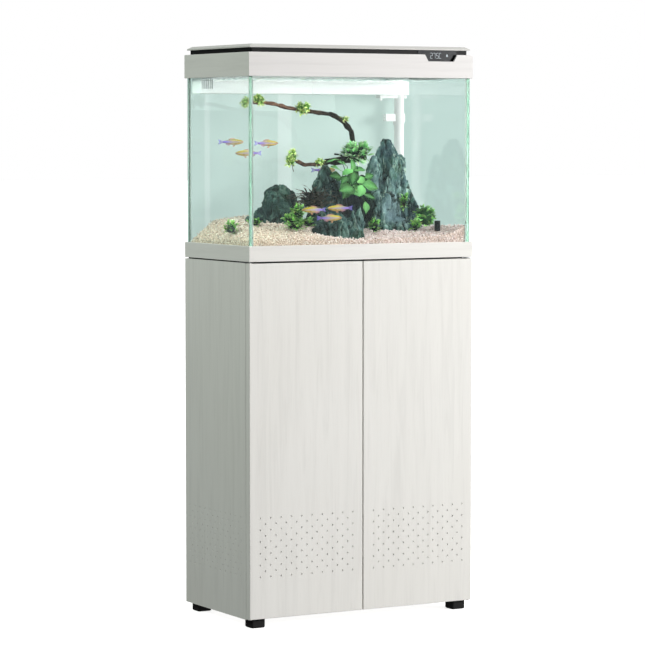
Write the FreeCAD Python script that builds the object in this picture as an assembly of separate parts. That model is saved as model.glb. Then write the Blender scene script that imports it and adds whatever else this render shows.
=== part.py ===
import FreeCAD, Part

import math
import os

# A planted glass aquarium with a filter hood, standing on a two-door cabinet. All sizes are in millimetres.
# The origin is on the floor under the middle of the footprint. +X is to the right for a person who faces
# the doors, the doors face -Y, and +Z is up.

Vector = FreeCAD.Vector
X_AXIS = Vector(1, 0, 0)
Y_AXIS = Vector(0, 1, 0)
Z_AXIS = Vector(0, 0, 1)
LEFT_AND_RIGHT = (-1, 1)

# Overall size and the stack of heights from the floor up
WIDTH = 600.0
DEPTH = 326.0
FOOT_HEIGHT = 20.0
CABINET_HEIGHT = 822.0
MAT_THICKNESS = 3.0
BASE_BAND_HEIGHT = 36.0
TANK_HEIGHT = 450.0
GLASS_SHOWING = 387.0
HOOD_HEIGHT = 55.0
COLLAR_HEIGHT = 10.5
LID_THICKNESS = 8.5

SIDE = WIDTH / 2
FRONT = -DEPTH / 2
BACK = DEPTH / 2
CABINET_BOTTOM = FOOT_HEIGHT
CABINET_TOP = CABINET_BOTTOM + CABINET_HEIGHT
TANK_BOTTOM = CABINET_TOP + MAT_THICKNESS
TANK_TOP = TANK_BOTTOM + TANK_HEIGHT
BAND_TOP = TANK_BOTTOM + BASE_BAND_HEIGHT
HOOD_BOTTOM = BAND_TOP + GLASS_SHOWING
HOOD_TOP = HOOD_BOTTOM + HOOD_HEIGHT
COLLAR_TOP = HOOD_TOP + COLLAR_HEIGHT
LID_TOP = COLLAR_TOP + LID_THICKNESS

# Cabinet
BOARD = 16.0
TOP_BOARD = 18.0
DOOR_THICKNESS = 18.0
DOOR_BACK_GAP = 2.0
DOOR_GAP = 3.0
BACK_BOARD = 5.0
CARCASS_FRONT = FRONT + DOOR_THICKNESS + DOOR_BACK_GAP
CARCASS_BACK = BACK - BACK_BOARD
INNER_SIDE = SIDE - BOARD
CARCASS_FLOOR = CABINET_BOTTOM + BOARD
CARCASS_CEILING = CABINET_TOP - TOP_BOARD
EDGE_RADIUS = 1.2
SHELF_TOP = 436.0
SHELF_SETBACK = 22.0
SHELF_PLAY = 0.5
SHELF_PIN_RADIUS = 2.5
SHELF_PIN_LENGTH = 16.0
SHELF_PIN_SPACING = 200.0

# Ventilation perforations: rows of holes, every second row shifted by half a pitch
HOLE_RADIUS = 2.1
HOLE_ROWS = 11
HOLE_ROW_STEP = 13.6
LOWEST_HOLES = 119.5
DOOR_HOLE_PITCH = 27.2
DOOR_HOLES_IN_ROW = 10
SIDE_HOLE_PITCH = 26.0
SIDE_HOLES_IN_ROW = 11

# Pivot hinges of the doors
PIVOT_INSET = 5.0
PIVOT_Y = FRONT + DOOR_THICKNESS / 2
PIN_RADIUS = 2.0
PIN_LENGTH = 13.0
ARM_THICKNESS = 1.2
ARM_OUTER = 298.5
ARM_INNER = 278.0
ARM_BACK = -92.0
BUSH_RADIUS = 3.5
BUSH_FLANGE_RADIUS = 4.4
BUSH_FLANGE = 0.8
BUSH_DEPTH = 13.0
END_PLAY = 0.1
DOOR_BOTTOM = CABINET_BOTTOM + ARM_THICKNESS + END_PLAY + BUSH_FLANGE
DOOR_TOP = CABINET_TOP - END_PLAY - BUSH_FLANGE
PIVOT_X = SIDE - PIVOT_INSET
PIN_PLAY = 0.05

# Screws
SCREW_RADIUS = 1.75
SCREW_HEAD_RADIUS = 3.2
SCREW_HEAD_PLAY = 1.0
SCREW_HEAD = 1.5
ARM_SCREW_X = 288.0
ARM_SCREW_ROWS = (-109.0, -98.0)
ARM_SCREW_LENGTH = 12.0
FOOT_SCREW_LENGTH = 24.0
FOOT_SCREW_RECESS = 6.0

# Feet
FOOT_SIZE = 36.0
FOOT_CHAMFER = 2.5
FOOT_INSET = 10.0
FOOT_CORNER = 5.0
FOOT_X = SIDE - FOOT_INSET - FOOT_SIZE / 2
FOOT_Y = BACK - FOOT_INSET - FOOT_SIZE / 2

# Cam fittings that join the boards
CAM_RADIUS = 7.5
CAM_DEPTH = 12.5
CAM_FROM_SIDE = 24.0
CAM_ROWS = (-85.0, 110.0)
CAM_BOLT_RADIUS = 3.0
CAM_BOLT_IN_SIDE = 10.0
CAM_BOLT_FROM_FACE = 9.0

# Push latches behind the doors' meeting edges
LATCH_X = 30.0
LATCH_WIDTH = 14.0
LATCH_LENGTH = 58.0
LATCH_SETBACK = 2.0
PLUNGER_RADIUS = 3.0
PLUNGER_PLAY = 0.08
PLUNGER_LENGTH = 40.0
PLUNGER_GAP = 0.3
PLUNGER_BORE = 54.0
PLUNGER_TIP_RADIUS = 0.6
LATCH_EDGE_RADIUS = 2.0

# Cable port in the back board
CABLE_PORT_Z = 700.0
CABLE_PORT_X = 200.0
CABLE_PORT_RADIUS = 20.0
GROMMET_RADIUS = 24.0
GROMMET_FLANGE_RADIUS = 28.0
GROMMET_FLANGE = 2.0

# Tank
GLASS = 6.0
BOTTOM_GLASS = 8.0
TANK_SIDE = SIDE - 5.0
TANK_FACE = BACK - 5.0
WATER_SIDE = TANK_SIDE - GLASS
WATER_FACE = TANK_FACE - GLASS
SEAM = 4.0
SEAM_TOP = 1285.0
FILM = 0.4
MAT_INSET = 6.0
MAT_NOTCH_PLAY = 1.0

# Hood
HOOD_WALL = 4.4
BAND_EDGE_RADIUS = 0.9
FRAME_INNER_SIDE = 283.0
FRAME_INNER_FACE = 146.0
COLLAR_INSET = 10.0
COLLAR_CORNER = 3.0
NOTCH_MIDDLE = 212.5
NOTCH_TOP_WIDTH = 90.0
NOTCH_BOTTOM_WIDTH = 70.5
NOTCH_DEPTH = 16.0
DISPLAY_THICKNESS = 1.5
DISPLAY_STRIP_WIDTH = 106.0
DISPLAY_SHIFT = -6.0
DISPLAY_ROOM = 6.0
DISPLAY_TOP_GAP = 0.5
LID_INSET = 5.0
LID_BEVEL_WIDTH = 9.0
LID_BEVEL_HEIGHT = 5.5
LID_BACK = BACK - 4.0
LID_PIVOT_Y = 157.0
LID_PIVOT_Z = COLLAR_TOP - 4.0
LID_HINGE_X = 180.0
KNUCKLE_RADIUS = 2.8
KNUCKLE_FIXED = 16.0
KNUCKLE_MOVING = 10.0
KNUCKLE_GAP = 0.3
HINGE_PLATE = 1.6
LEAF_FRONT = 2.4
LEAF_BACK = 1.9
LID_PIN_RADIUS = 1.2
JACK_X = -235.0
JACK_RADIUS = 6.0
JACK_BORE = 2.8
JACK_BORE_DEPTH = 9.0
JACK_LENGTH = 12.0

# Lamp
LAMP_HALF_LENGTH = 262.0
LAMP_DEPTH = 30.0
LAMP_HEIGHT = 15.0
LAMP_WALL = 2.0
LAMP_BOTTOM = 1301.0
LAMP_DIFFUSER = 2.0
LAMP_STRIP_INSET = 4.0
LAMP_STRIP_WIDTH = 12.0
LAMP_STRIP_THICKNESS = 1.5

# Filter
TROUGH_SIDE = 284.0
TROUGH_FRONT = 104.0
TROUGH_BACK = 147.5
TROUGH_BOTTOM = 1232.0
TROUGH_WALL = 3.0
TAB_THICKNESS = 2.0
TAB_FRONT = 112.0
TAB_BACK = 140.0
TAB_PLAY = 0.5
COMB_SLOTS = 6
COMB_SLOT_WIDTH = 2.5
COMB_PITCH = 5.0
COMB_START = -279.0
COMB_SLOT_START = 10.0
COMB_SLOT_HEIGHT = 30.0
TROUGH_EDGE_RADIUS = 2.0
TROUGH_SEAM_WIDTH = 26.0
TROUGH_SEAM_DEPTH = 0.8
TAB_FROM_EDGE = 1.0
RISER_HOLE_PLAY = 0.1
MEDIA_PLAY = 1.0
SPONGE_LEFT = -240.0
SPONGE_RIGHT = -20.0
SPONGE_HEIGHT = 28.0
SPONGE_CORNER = 3.0
RING_COLUMNS = 10
RING_ROWS = 2
RING_PITCH = 21.0
RING_ROW_GAP = 3.0
RING_LENGTH = 16.0
RING_RADIUS = 8.5
RING_BORE = 4.5
FIRST_RING_X = 24.0
RISER_X = 265.0
RISER_Y = 120.0
RISER_RADIUS = 12.0
RISER_BORE = 9.5
RISER_TOP = 1272.0
DUCT_LOW = 1166.0
DUCT_HIGH = 1186.0
DUCT_MOUTH_X = 224.0
DUCT_HALF_WIDTH = 7.0
DUCT_WALL = 3.0
DUCT_COLLAR = 3.0
BAR_HEIGHT = 8.0
BAR_LEFT = 206.0
BAR_FROM_TROUGH_END = 2.0
BAR_FRONT = 111.0
BAR_BACK = 135.0
BAR_CORNER = 2.0
NOZZLE_X = 213.0
NOZZLE_RADIUS = 3.5
NOZZLE_LENGTH = 6.0
PUMP_WIDTH = 42.0
PUMP_FRONT = 112.0
PUMP_BACK = 146.0
PUMP_BOTTOM = 917.0
PUMP_HEIGHT = 60.0
PUMP_COVER = 3.0
PUMP_TOP = PUMP_BOTTOM + PUMP_HEIGHT
ROTOR_Z = PUMP_BOTTOM + PUMP_HEIGHT / 2
VOLUTE_RADIUS = 16.0
VOLUTE_DEPTH = 15.0
ROTOR_BORE = 7.2
ROTOR_RADIUS = 6.8
SHAFT_RADIUS = 1.0
BLADE_REACH = 14.0
BLADE_THICKNESS = 1.6
BLADES = 6
HUB_RADIUS = 4.0
ROTOR_END_GAP = 2.0
MAGNET_LENGTH = 13.0
SHAFT_SEAT = 0.5
PUMP_OUTLET_RADIUS = 7.0
PUMP_CORNER = 4.0
SPIGOT_LENGTH = 14.0
COVER_EDGE_RADIUS = 1.2
COVER_SLOT_PITCH = 4.5
COVER_SLOT_WIDTH = 2.2
COVER_SLOT_HEIGHT = 28.0
CUP_FROM_AXIS = 17.0
CUP_NECK_RADIUS = 3.5
CUP_RADIUS = 9.5

# Gravel surface: heights over the floor at each column (x) of each row (y), banked up to the back
GRAVEL_X = (-WATER_SIDE, -228.0, -130.0, 0.0, 100.0, 200.0, 245.0, WATER_SIDE)
GRAVEL_ROWS = {
    -WATER_FACE: (893.0, 896.0, 900.0, 888.0, 892.0, 896.0, 900.0, 921.0),
    -80.0: (894.0, 912.0, 914.0, 893.0, 904.0, 903.0, 903.0, 919.0),
    20.0: (888.0, 930.0, 932.0, 915.0, 908.0, 908.0, 908.0, 915.0),
    WATER_FACE: (882.0, 931.0, 943.0, 930.0, 914.0, 911.0, 911.0, 913.0),
}

# Each rock is a stack of rings: height, middle x, middle y, half width, half depth
ROCKS = {
    "left": (
        (905, -130, 32, 62, 38),
        (942, -127, 34, 56, 35),
        (956, -117, 36, 45, 31),
        (992, -112, 37, 35, 25),
        (1010, -110, 38, 24, 17),
        (1018, -110, 38, 9, 8),
    ),
    "centre": (
        (885, 28, 46, 56, 38),
        (960, 28, 46, 50, 34),
        (1010, 22, 46, 38, 26),
        (1040, 15, 46, 24, 18),
        (1058, 13, 46, 9, 8),
    ),
    "right": (
        (885, 208, 60, 66, 44),
        (960, 206, 60, 60, 40),
        (1020, 198, 60, 52, 35),
        (1070, 197, 60, 46, 30),
        (1100, 197, 60, 28, 22),
        (1122, 199, 60, 10, 9),
    ),
    "right_slab": (
        (885, 192, -9, 54, 20),
        (950, 190, -7, 44, 17),
        (1000, 186, -2, 20, 10),
    ),
    "front": (
        (878, -24, -86, 70, 32),
        (920, -22, -84, 62, 28),
        (945, -18, -82, 45, 20),
        (960, -15, -80, 18, 10),
    ),
}
ROCK_SIDES = 9
ROCK_ROUGHNESS = 0.07

# Driftwood: each run is a list of x, y, z and the wood's radius there
DRIFTWOOD = {
    "trunk": ((0, 20, 1072, 6), (28, 20, 1071, 9), (70, 14, 1077, 9), (108, 12, 1081, 6)),
    "upper": (
        (66, 13, 1080, 7),
        (74, 12, 1110, 6),
        (67, 11, 1144, 6),
        (40, 10, 1171, 6),
        (8, 10, 1184, 5.5),
        (-53, 10, 1190, 4.5),
        (-110, 10, 1199, 4),
        (-145, 10, 1208, 4),
        (-215, 10, 1211, 3),
    ),
    "lower": ((14, 16, 1070, 5), (-26, 4, 1066, 4.5), (-65, 0, 1064, 4), (-108, 0, 1079, 3)),
}
WOOD_SIDES = 7

# Plant masses: middle x, y, z and the half sizes along x, y and z
PLANTS = {
    "moss_tip": (-214, 10, 1211, 12, 11, 11),
    "moss_second": (-187, 10, 1217, 14, 12, 12),
    "moss_middle": (-69, 10, 1197, 17, 15, 16),
    "moss_bend": (47, 10, 1170, 10, 9, 8),
    "moss_lower_tip": (-105, 0, 1080, 14, 13, 19),
    "moss_lower_inner": (-26, 4, 1069, 12, 10, 9),
    "broad_leaves": (66, -26, 1006, 48, 21, 30),
    "crown": (82, 6, 1098, 38, 24, 20),
    "red_curls": (-34, 0, 980, 24, 13, 27),
    "left_tuft": (-264, -34, 918, 18, 14, 16),
    "rock_foot_tuft": (-212, -24, 930, 14, 10, 10),
    "front_tuft": (-138, -90, 942, 33, 20, 27),
    "middle_tuft": (93, -66, 918, 11, 10, 19),
    "slab_tuft": (214, -66, 916, 10, 9, 15),
    "corner_bush": (240, -56, 938, 30, 20, 31),
    "ledge_tuft": (238, 4, 976, 11, 9, 19),
}
PLANT_SIDES = 10

# Fish: x, y, z of the middle, and 1 for a fish that swims to the right or -1 to the left
FISH = (
    (-233, 46, 1118, 1),
    (-146, 46, 1115, 1),
    (-214, -2, 1092, -1),
    (-107, -120, 961, -1),
    (-36, -114, 964, -1),
    (-74, -132, 942, 1),
    (48, 112, 1050, 1),
)
FISH_LENGTH = 63.0
FISH_SIDES = 8
# Along a fish: share of its length, half height and half width
FISH_SECTIONS = (
    (0.0, 1.0, 0.9),
    (0.1, 4.2, 2.8),
    (0.35, 7.6, 3.8),
    (0.6, 6.2, 3.0),
    (0.8, 2.2, 1.2),
    (1.0, 5.5, 0.6),
)

PROBE_X = 233.0
PROBE_Y = -112.0
PROBE_RADIUS = 7.0
PROBE_BOTTOM = 906.0
PROBE_LENGTH = 25.0
PROBE_CAP_RADIUS = 2.0


# ---------------------------------------------------------------- helpers


def block(x0, x1, y0, y1, z0, z1):
    """A box between two corners, given in any order along each axis."""
    low = Vector(min(x0, x1), min(y0, y1), min(z0, z1))
    return Part.makeBox(abs(x1 - x0), abs(y1 - y0), abs(z1 - z0), low)


def rod(radius, length, start, direction):
    return Part.makeCylinder(radius, length, start, direction)


def tube(outer, inner, length, start, direction):
    return rod(outer, length, start, direction).cut(rod(inner, length, start, direction))


def prism(points, along):
    """A closed flat outline, pushed along a vector."""
    outline = Part.makePolygon(points + [points[0]])
    return Part.Face(outline).extrude(along)


def rounded(shape, radius, wanted):
    """Rounds the edges for which wanted(edge) is true."""
    return shape.makeFillet(radius, [edge for edge in shape.Edges if wanted(edge)])


def lies_at(edge, axis, value):
    """Whether the whole edge lies at one coordinate along 'x', 'y' or 'z'."""
    return all(abs(getattr(vertex.Point, axis) - value) < 0.001 for vertex in edge.Vertexes)


def runs_along_z(edge):
    return edge.BoundBox.ZLength > 1.0 and edge.BoundBox.XLength + edge.BoundBox.YLength < 0.001


def group(shapes):
    return Part.makeCompound(list(shapes))


def flat_face(points):
    return Part.Face(Part.makePolygon(list(points) + [points[0]]))


def closed_solid(faces):
    shell = Part.makeShell(faces)
    shell.sewShape()
    solid = Part.makeSolid(shell)
    if solid.Volume < 0:
        solid.reverse()
    return solid


def skin_of_rings(rings):
    """A faceted solid through rings that have the same number of points."""
    count = len(rings[0])
    faces = [flat_face(rings[0]), flat_face(rings[-1])]
    for lower, upper in zip(rings, rings[1:]):
        for i in range(count):
            j = (i + 1) % count
            faces.append(flat_face([lower[i], lower[j], upper[j]]))
            faces.append(flat_face([lower[i], upper[j], upper[i]]))
    return closed_solid(faces)


def ellipse_ring(middle, half_x, half_y, count, roughness=0.0, phase=0.0):
    """Points of a level ring, with a gentle unevenness where roughness is not zero."""
    ring = []
    for i in range(count):
        angle = 2 * math.pi * i / count
        reach = 1 + roughness * math.sin(3 * angle + phase)
        ring.append(middle + Vector(half_x * reach * math.cos(angle), half_y * reach * math.sin(angle), 0))
    return ring


def without(shape, others):
    """The shape with the space of the others cut out of it."""
    for other in others:
        if shape.BoundBox.intersect(other.BoundBox):
            shape = shape.cut(other)
    return shape


# ---------------------------------------------------------------- cabinet


def perforation(along, columns, pitch, middle, start, length):
    """The staggered field of drills for one panel; along is the axis that its rows run along."""
    direction = Y_AXIS if along == X_AXIS else X_AXIS
    drills = []
    for row in range(HOLE_ROWS):
        holes = columns - row % 2
        height = LOWEST_HOLES + row * HOLE_ROW_STEP
        for hole in range(holes):
            offset = middle + (hole - (holes - 1) / 2) * pitch
            mouth = along * offset + direction * start + Z_AXIS * height
            drills.append(rod(HOLE_RADIUS, length, mouth, direction))
    return group(drills)


def cam_drills():
    """The cam discs and bolts of the carcass, as the solids that fill their holes."""
    discs = []
    bolts = []
    for side in LEFT_AND_RIGHT:
        for y in CAM_ROWS:
            disc_x = side * (INNER_SIDE - CAM_FROM_SIDE)
            bolt_start = side * (INNER_SIDE + CAM_BOLT_IN_SIDE)
            bolt_length = CAM_BOLT_IN_SIDE + CAM_FROM_SIDE - CAM_RADIUS - 0.1
            for z0, bolt_z in (
                (CARCASS_CEILING, CABINET_TOP - CAM_BOLT_FROM_FACE),
                (CARCASS_FLOOR - CAM_DEPTH, CABINET_BOTTOM + CAM_BOLT_FROM_FACE),
            ):
                discs.append(rod(CAM_RADIUS, CAM_DEPTH, Vector(disc_x, y, z0), Z_AXIS))
                bolt_head = Vector(bolt_start, y, bolt_z)
                bolts.append(rod(CAM_BOLT_RADIUS, bolt_length, bolt_head, X_AXIS * -side))
    return discs, bolts


def shelf_pin_rods():
    pins = []
    height = SHELF_TOP - BOARD - SHELF_PIN_RADIUS
    for side in LEFT_AND_RIGHT:
        for y in (-SHELF_PIN_SPACING / 2, SHELF_PIN_SPACING / 2):
            start = Vector(side * (INNER_SIDE + SHELF_PIN_LENGTH / 2), y, height)
            pins.append(rod(SHELF_PIN_RADIUS, SHELF_PIN_LENGTH, start, X_AXIS * -side))
    return pins


def arm_outline(side, z):
    """The plate of one pivot arm, with a round nose about its pin."""
    nose_radius = ARM_OUTER - PIVOT_X
    outer = side * ARM_OUTER
    top = z + ARM_THICKNESS
    nose = rod(nose_radius, ARM_THICKNESS, Vector(side * PIVOT_X, PIVOT_Y, z), Z_AXIS)
    bar = block(outer, side * (PIVOT_X - nose_radius), PIVOT_Y, ARM_BACK, z, top)
    plate = block(outer, side * ARM_INNER, CARCASS_FRONT, ARM_BACK, z, top)
    return nose.fuse([bar, plate]).removeSplitter()


def screw(seat, direction, length):
    """A screw whose head's underside is at seat, and whose thread points along direction."""
    thread = rod(SCREW_RADIUS, length, seat, direction)
    head = rod(SCREW_HEAD_RADIUS, SCREW_HEAD, seat, direction * -1)
    return thread.fuse(head)


def arm_screws():
    screws = []
    for side in LEFT_AND_RIGHT:
        for y in ARM_SCREW_ROWS:
            lower_seat = Vector(side * ARM_SCREW_X, y, CABINET_BOTTOM)
            upper_seat = Vector(side * ARM_SCREW_X, y, CABINET_TOP + ARM_THICKNESS)
            screws.append(screw(lower_seat, Z_AXIS, ARM_SCREW_LENGTH))
            screws.append(screw(upper_seat, Z_AXIS * -1, ARM_SCREW_LENGTH))
    return screws


def foot_screws():
    screws = []
    for x in (-FOOT_X, FOOT_X):
        for y in (-FOOT_Y, FOOT_Y):
            seat = Vector(x, y, FOOT_SCREW_RECESS + SCREW_HEAD)
            screws.append(screw(seat, Z_AXIS, FOOT_SCREW_LENGTH))
    return screws


def carcass():
    """The boards, with every hole and pocket that their fittings need."""
    discs, bolts = cam_drills()
    lower_arms = [arm_outline(side, CABINET_BOTTOM) for side in LEFT_AND_RIGHT]
    fittings = discs + bolts + shelf_pin_rods() + lower_arms + arm_screws() + foot_screws()

    nodes = {}
    for side, name in ((-1, "cabinet_left_side"), (1, "cabinet_right_side")):
        face = side * SIDE
        board = block(face, side * INNER_SIDE, CARCASS_FRONT, BACK, CABINET_BOTTOM, CABINET_TOP)
        board = rounded(board, EDGE_RADIUS, lambda edge: lies_at(edge, "x", face) and runs_along_z(edge))
        middle = (CARCASS_FRONT + BACK) / 2
        start = min(side * SIDE, side * INNER_SIDE)
        board = board.cut(perforation(Y_AXIS, SIDE_HOLES_IN_ROW, SIDE_HOLE_PITCH, middle, start, BOARD))
        nodes[name] = without(board, fittings)

    top = block(-INNER_SIDE, INNER_SIDE, CARCASS_FRONT, CARCASS_BACK, CARCASS_CEILING, CABINET_TOP)
    nodes["cabinet_top"] = without(top, fittings)
    bottom = block(-INNER_SIDE, INNER_SIDE, CARCASS_FRONT, CARCASS_BACK, CABINET_BOTTOM, CARCASS_FLOOR)
    nodes["cabinet_bottom"] = without(bottom, fittings)

    port = rod(GROMMET_RADIUS, BACK_BOARD, Vector(CABLE_PORT_X, CARCASS_BACK, CABLE_PORT_Z), Y_AXIS)
    back = block(-INNER_SIDE, INNER_SIDE, CARCASS_BACK, BACK, CABINET_BOTTOM, CABINET_TOP)
    nodes["cabinet_back"] = back.cut(port)

    shelf_side = INNER_SIDE - SHELF_PLAY
    shelf_front = CARCASS_FRONT + SHELF_SETBACK
    shelf_back = CARCASS_BACK - SHELF_PLAY
    shelf = block(-shelf_side, shelf_side, shelf_front, shelf_back, SHELF_TOP - BOARD, SHELF_TOP)
    nodes["cabinet_shelf"] = rounded(shelf, EDGE_RADIUS, lambda edge: lies_at(edge, "y", shelf_front))
    return nodes


def carcass_fittings():
    discs, bolts = cam_drills()
    port = Vector(CABLE_PORT_X, CARCASS_BACK, CABLE_PORT_Z)
    sleeve = rod(GROMMET_RADIUS, BACK_BOARD, port, Y_AXIS)
    flange = rod(GROMMET_FLANGE_RADIUS, GROMMET_FLANGE, port, Y_AXIS * -1)
    opening = rod(CABLE_PORT_RADIUS, BACK_BOARD + GROMMET_FLANGE, port - Y_AXIS * GROMMET_FLANGE, Y_AXIS)
    return {
        "cam_discs": group(discs),
        "cam_bolts": group(bolts),
        "shelf_pins": group(shelf_pin_rods()),
        "fixing_screws": group(arm_screws() + foot_screws()),
        "cable_grommet": sleeve.fuse(flange).cut(opening),
    }


def feet():
    """Four rubber feet with rounded corners, chamfered round the floor, each with a recess for its screw."""
    half = FOOT_SIZE / 2
    made = []
    for x in (-FOOT_X, FOOT_X):
        for y in (-FOOT_Y, FOOT_Y):
            foot = block(x - half, x + half, y - half, y + half, 0, FOOT_HEIGHT)
            foot = rounded(foot, FOOT_CORNER, runs_along_z)
            floor_edges = [edge for edge in foot.Edges if lies_at(edge, "z", 0.0)]
            foot = foot.makeChamfer(FOOT_CHAMFER, floor_edges)
            middle = Vector(x, y, 0)
            head_room_radius = SCREW_HEAD_RADIUS + SCREW_HEAD_PLAY
            head_room = rod(head_room_radius, FOOT_SCREW_RECESS + SCREW_HEAD, middle, Z_AXIS)
            thread_room = rod(SCREW_RADIUS, FOOT_HEIGHT, middle, Z_AXIS)
            made.append(foot.cut([head_room, thread_room]))
    return {"cabinet_feet": group(made)}


def doors():
    """The doors with their nylon bushes, and the steel arms and pins that they turn on."""
    nodes = {}
    arms = []
    pins = []
    for side, name in ((-1, "left"), (1, "right")):
        board = block(side * SIDE, side * DOOR_GAP / 2, FRONT, FRONT + DOOR_THICKNESS, DOOR_BOTTOM, DOOR_TOP)
        board = rounded(board, EDGE_RADIUS, lambda edge: lies_at(edge, "y", FRONT))
        middle = side * (SIDE + DOOR_GAP / 2) / 2
        drills = perforation(X_AXIS, DOOR_HOLES_IN_ROW, DOOR_HOLE_PITCH, middle, FRONT, DOOR_THICKNESS)
        board = board.cut(drills)
        bushes = []
        for edge_z, up, arm_z in ((DOOR_BOTTOM, 1, CABINET_BOTTOM), (DOOR_TOP, -1, CABINET_TOP)):
            mouth = Vector(side * PIVOT_X, PIVOT_Y, edge_z)
            sleeve = rod(BUSH_RADIUS, BUSH_DEPTH, mouth, Z_AXIS * up)
            flange = rod(BUSH_FLANGE_RADIUS, BUSH_FLANGE, mouth, Z_AXIS * -up)
            bore_start = mouth - Z_AXIS * up * BUSH_FLANGE
            bore = rod(PIN_RADIUS + PIN_PLAY, BUSH_DEPTH + BUSH_FLANGE, bore_start, Z_AXIS * up)
            board = board.cut(sleeve)
            bushes.append(sleeve.fuse(flange).cut(bore))

            arm = arm_outline(side, arm_z)
            pin_start = Vector(side * PIVOT_X, PIVOT_Y, arm_z if up > 0 else arm_z + ARM_THICKNESS)
            pin = rod(PIN_RADIUS, PIN_LENGTH, pin_start, Z_AXIS * up)
            arms.append(without(arm, [pin] + arm_screws()))
            pins.append(pin)
        nodes[f"{name}_door"] = board
        nodes[f"{name}_door_bushes"] = group(bushes)
    nodes["pivot_arms"] = group(arms)
    nodes["pivot_pins"] = group(pins)
    return nodes


def latches():
    """Push-to-open latches: a housing under the cabinet's top, and a sprung plunger behind each door."""
    nodes = {}
    housings = []
    half = LATCH_WIDTH / 2
    axis_z = CARCASS_CEILING - half
    front = CARCASS_FRONT + LATCH_SETBACK
    back = front + LATCH_LENGTH
    bottom_z = axis_z - half
    tip_y = FRONT + DOOR_THICKNESS + PLUNGER_GAP
    for side, name in ((-1, "left"), (1, "right")):
        x = side * LATCH_X
        body = block(x - half, x + half, front, back, bottom_z, CARCASS_CEILING)
        body = rounded(body, LATCH_EDGE_RADIUS, lambda edge: lies_at(edge, "z", bottom_z))
        bore = rod(PLUNGER_RADIUS + PLUNGER_PLAY, PLUNGER_BORE, Vector(x, front, axis_z), Y_AXIS)
        housings.append(body.cut(bore))
        plunger = rod(PLUNGER_RADIUS, PLUNGER_LENGTH, Vector(x, tip_y, axis_z), Y_AXIS)
        plunger = rounded(plunger, PLUNGER_TIP_RADIUS, lambda edge: lies_at(edge, "y", tip_y))
        nodes[f"{name}_latch_plunger"] = plunger
    nodes["latch_housings"] = group(housings)
    return nodes


# ---------------------------------------------------------------- tank


def mitred_frame(wall, z0, height):
    """Front, rear, left and right boards of a band in line with the cabinet, mitred at the corners."""
    inner_side = SIDE - wall
    inner_face = BACK - wall
    corners = ((-1, -1), (1, -1), (1, 1), (-1, 1))
    outer = [Vector(a * SIDE, b * BACK, z0) for a, b in corners]
    inner = [Vector(a * inner_side, b * inner_face, z0) for a, b in corners]
    faces = (("y", FRONT, 0, 1), ("y", BACK, 2, 3), ("x", -SIDE, 3, 0), ("x", SIDE, 1, 2))
    boards = []
    for axis, value, i, j in faces:
        board = prism([outer[i], outer[j], inner[j], inner[i]], Z_AXIS * height)
        boards.append(rounded(board, BAND_EDGE_RADIUS, long_outer_edge(axis, value)))
    return boards


def long_outer_edge(axis, value):
    """The test for the long edges of a board's outer face."""
    return lambda edge: lies_at(edge, axis, value) and not runs_along_z(edge)


def base():
    """The foam mat, cut back round the pivot arms, and the rails round the foot of the tank."""
    mat_side = SIDE - MAT_INSET
    mat_face = BACK - MAT_INSET
    mat = block(-mat_side, mat_side, -mat_face, mat_face, CABINET_TOP, TANK_BOTTOM)
    notches = []
    for side in LEFT_AND_RIGHT:
        inner = side * (ARM_INNER - MAT_NOTCH_PLAY)
        back = ARM_BACK + MAT_NOTCH_PLAY
        notches.append(block(side * SIDE, inner, FRONT, back, CABINET_TOP, TANK_BOTTOM))
    rails = mitred_frame(SIDE - TANK_SIDE, TANK_BOTTOM, BASE_BAND_HEIGHT)
    return {
        "levelling_mat": mat.cut(notches),
        "base_long_rails": group(rails[:2]),
        "base_short_rails": group(rails[2:]),
    }


def glass_panes():
    return {
        "front_glass": block(-TANK_SIDE, TANK_SIDE, -TANK_FACE, -WATER_FACE, TANK_BOTTOM, TANK_TOP),
        "back_glass": block(-TANK_SIDE, TANK_SIDE, WATER_FACE, TANK_FACE, TANK_BOTTOM, TANK_TOP),
        "left_glass": block(-TANK_SIDE, -WATER_SIDE, -WATER_FACE, WATER_FACE, TANK_BOTTOM, TANK_TOP),
        "right_glass": block(WATER_SIDE, TANK_SIDE, -WATER_FACE, WATER_FACE, TANK_BOTTOM, TANK_TOP),
        "bottom_glass": block(
            -WATER_SIDE, WATER_SIDE, -WATER_FACE, WATER_FACE, TANK_BOTTOM, TANK_BOTTOM + BOTTOM_GLASS
        ),
        "background_film": block(-TANK_SIDE, TANK_SIDE, TANK_FACE, TANK_FACE + FILM, BAND_TOP, HOOD_BOTTOM),
    }


def seams():
    """Silicone fillets in the four upright corners."""
    bottom = TANK_BOTTOM + BOTTOM_GLASS
    made = []
    for a in LEFT_AND_RIGHT:
        for b in LEFT_AND_RIGHT:
            corner = Vector(a * WATER_SIDE, b * WATER_FACE, bottom)
            points = [corner, corner - X_AXIS * a * SEAM, corner - Y_AXIS * b * SEAM]
            made.append(prism(points, Z_AXIS * (SEAM_TOP - bottom)))
    return made


# ---------------------------------------------------------------- hood


def notch_points(y):
    """The notch's outline in the hood's front, open at the top edge."""
    half_top = NOTCH_TOP_WIDTH / 2
    half_bottom = NOTCH_BOTTOM_WIDTH / 2
    bottom = HOOD_TOP - NOTCH_DEPTH
    return [
        Vector(NOTCH_MIDDLE - half_top, y, HOOD_TOP),
        Vector(NOTCH_MIDDLE - half_bottom, y, bottom),
        Vector(NOTCH_MIDDLE + half_bottom, y, bottom),
        Vector(NOTCH_MIDDLE + half_top, y, HOOD_TOP),
    ]


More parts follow.
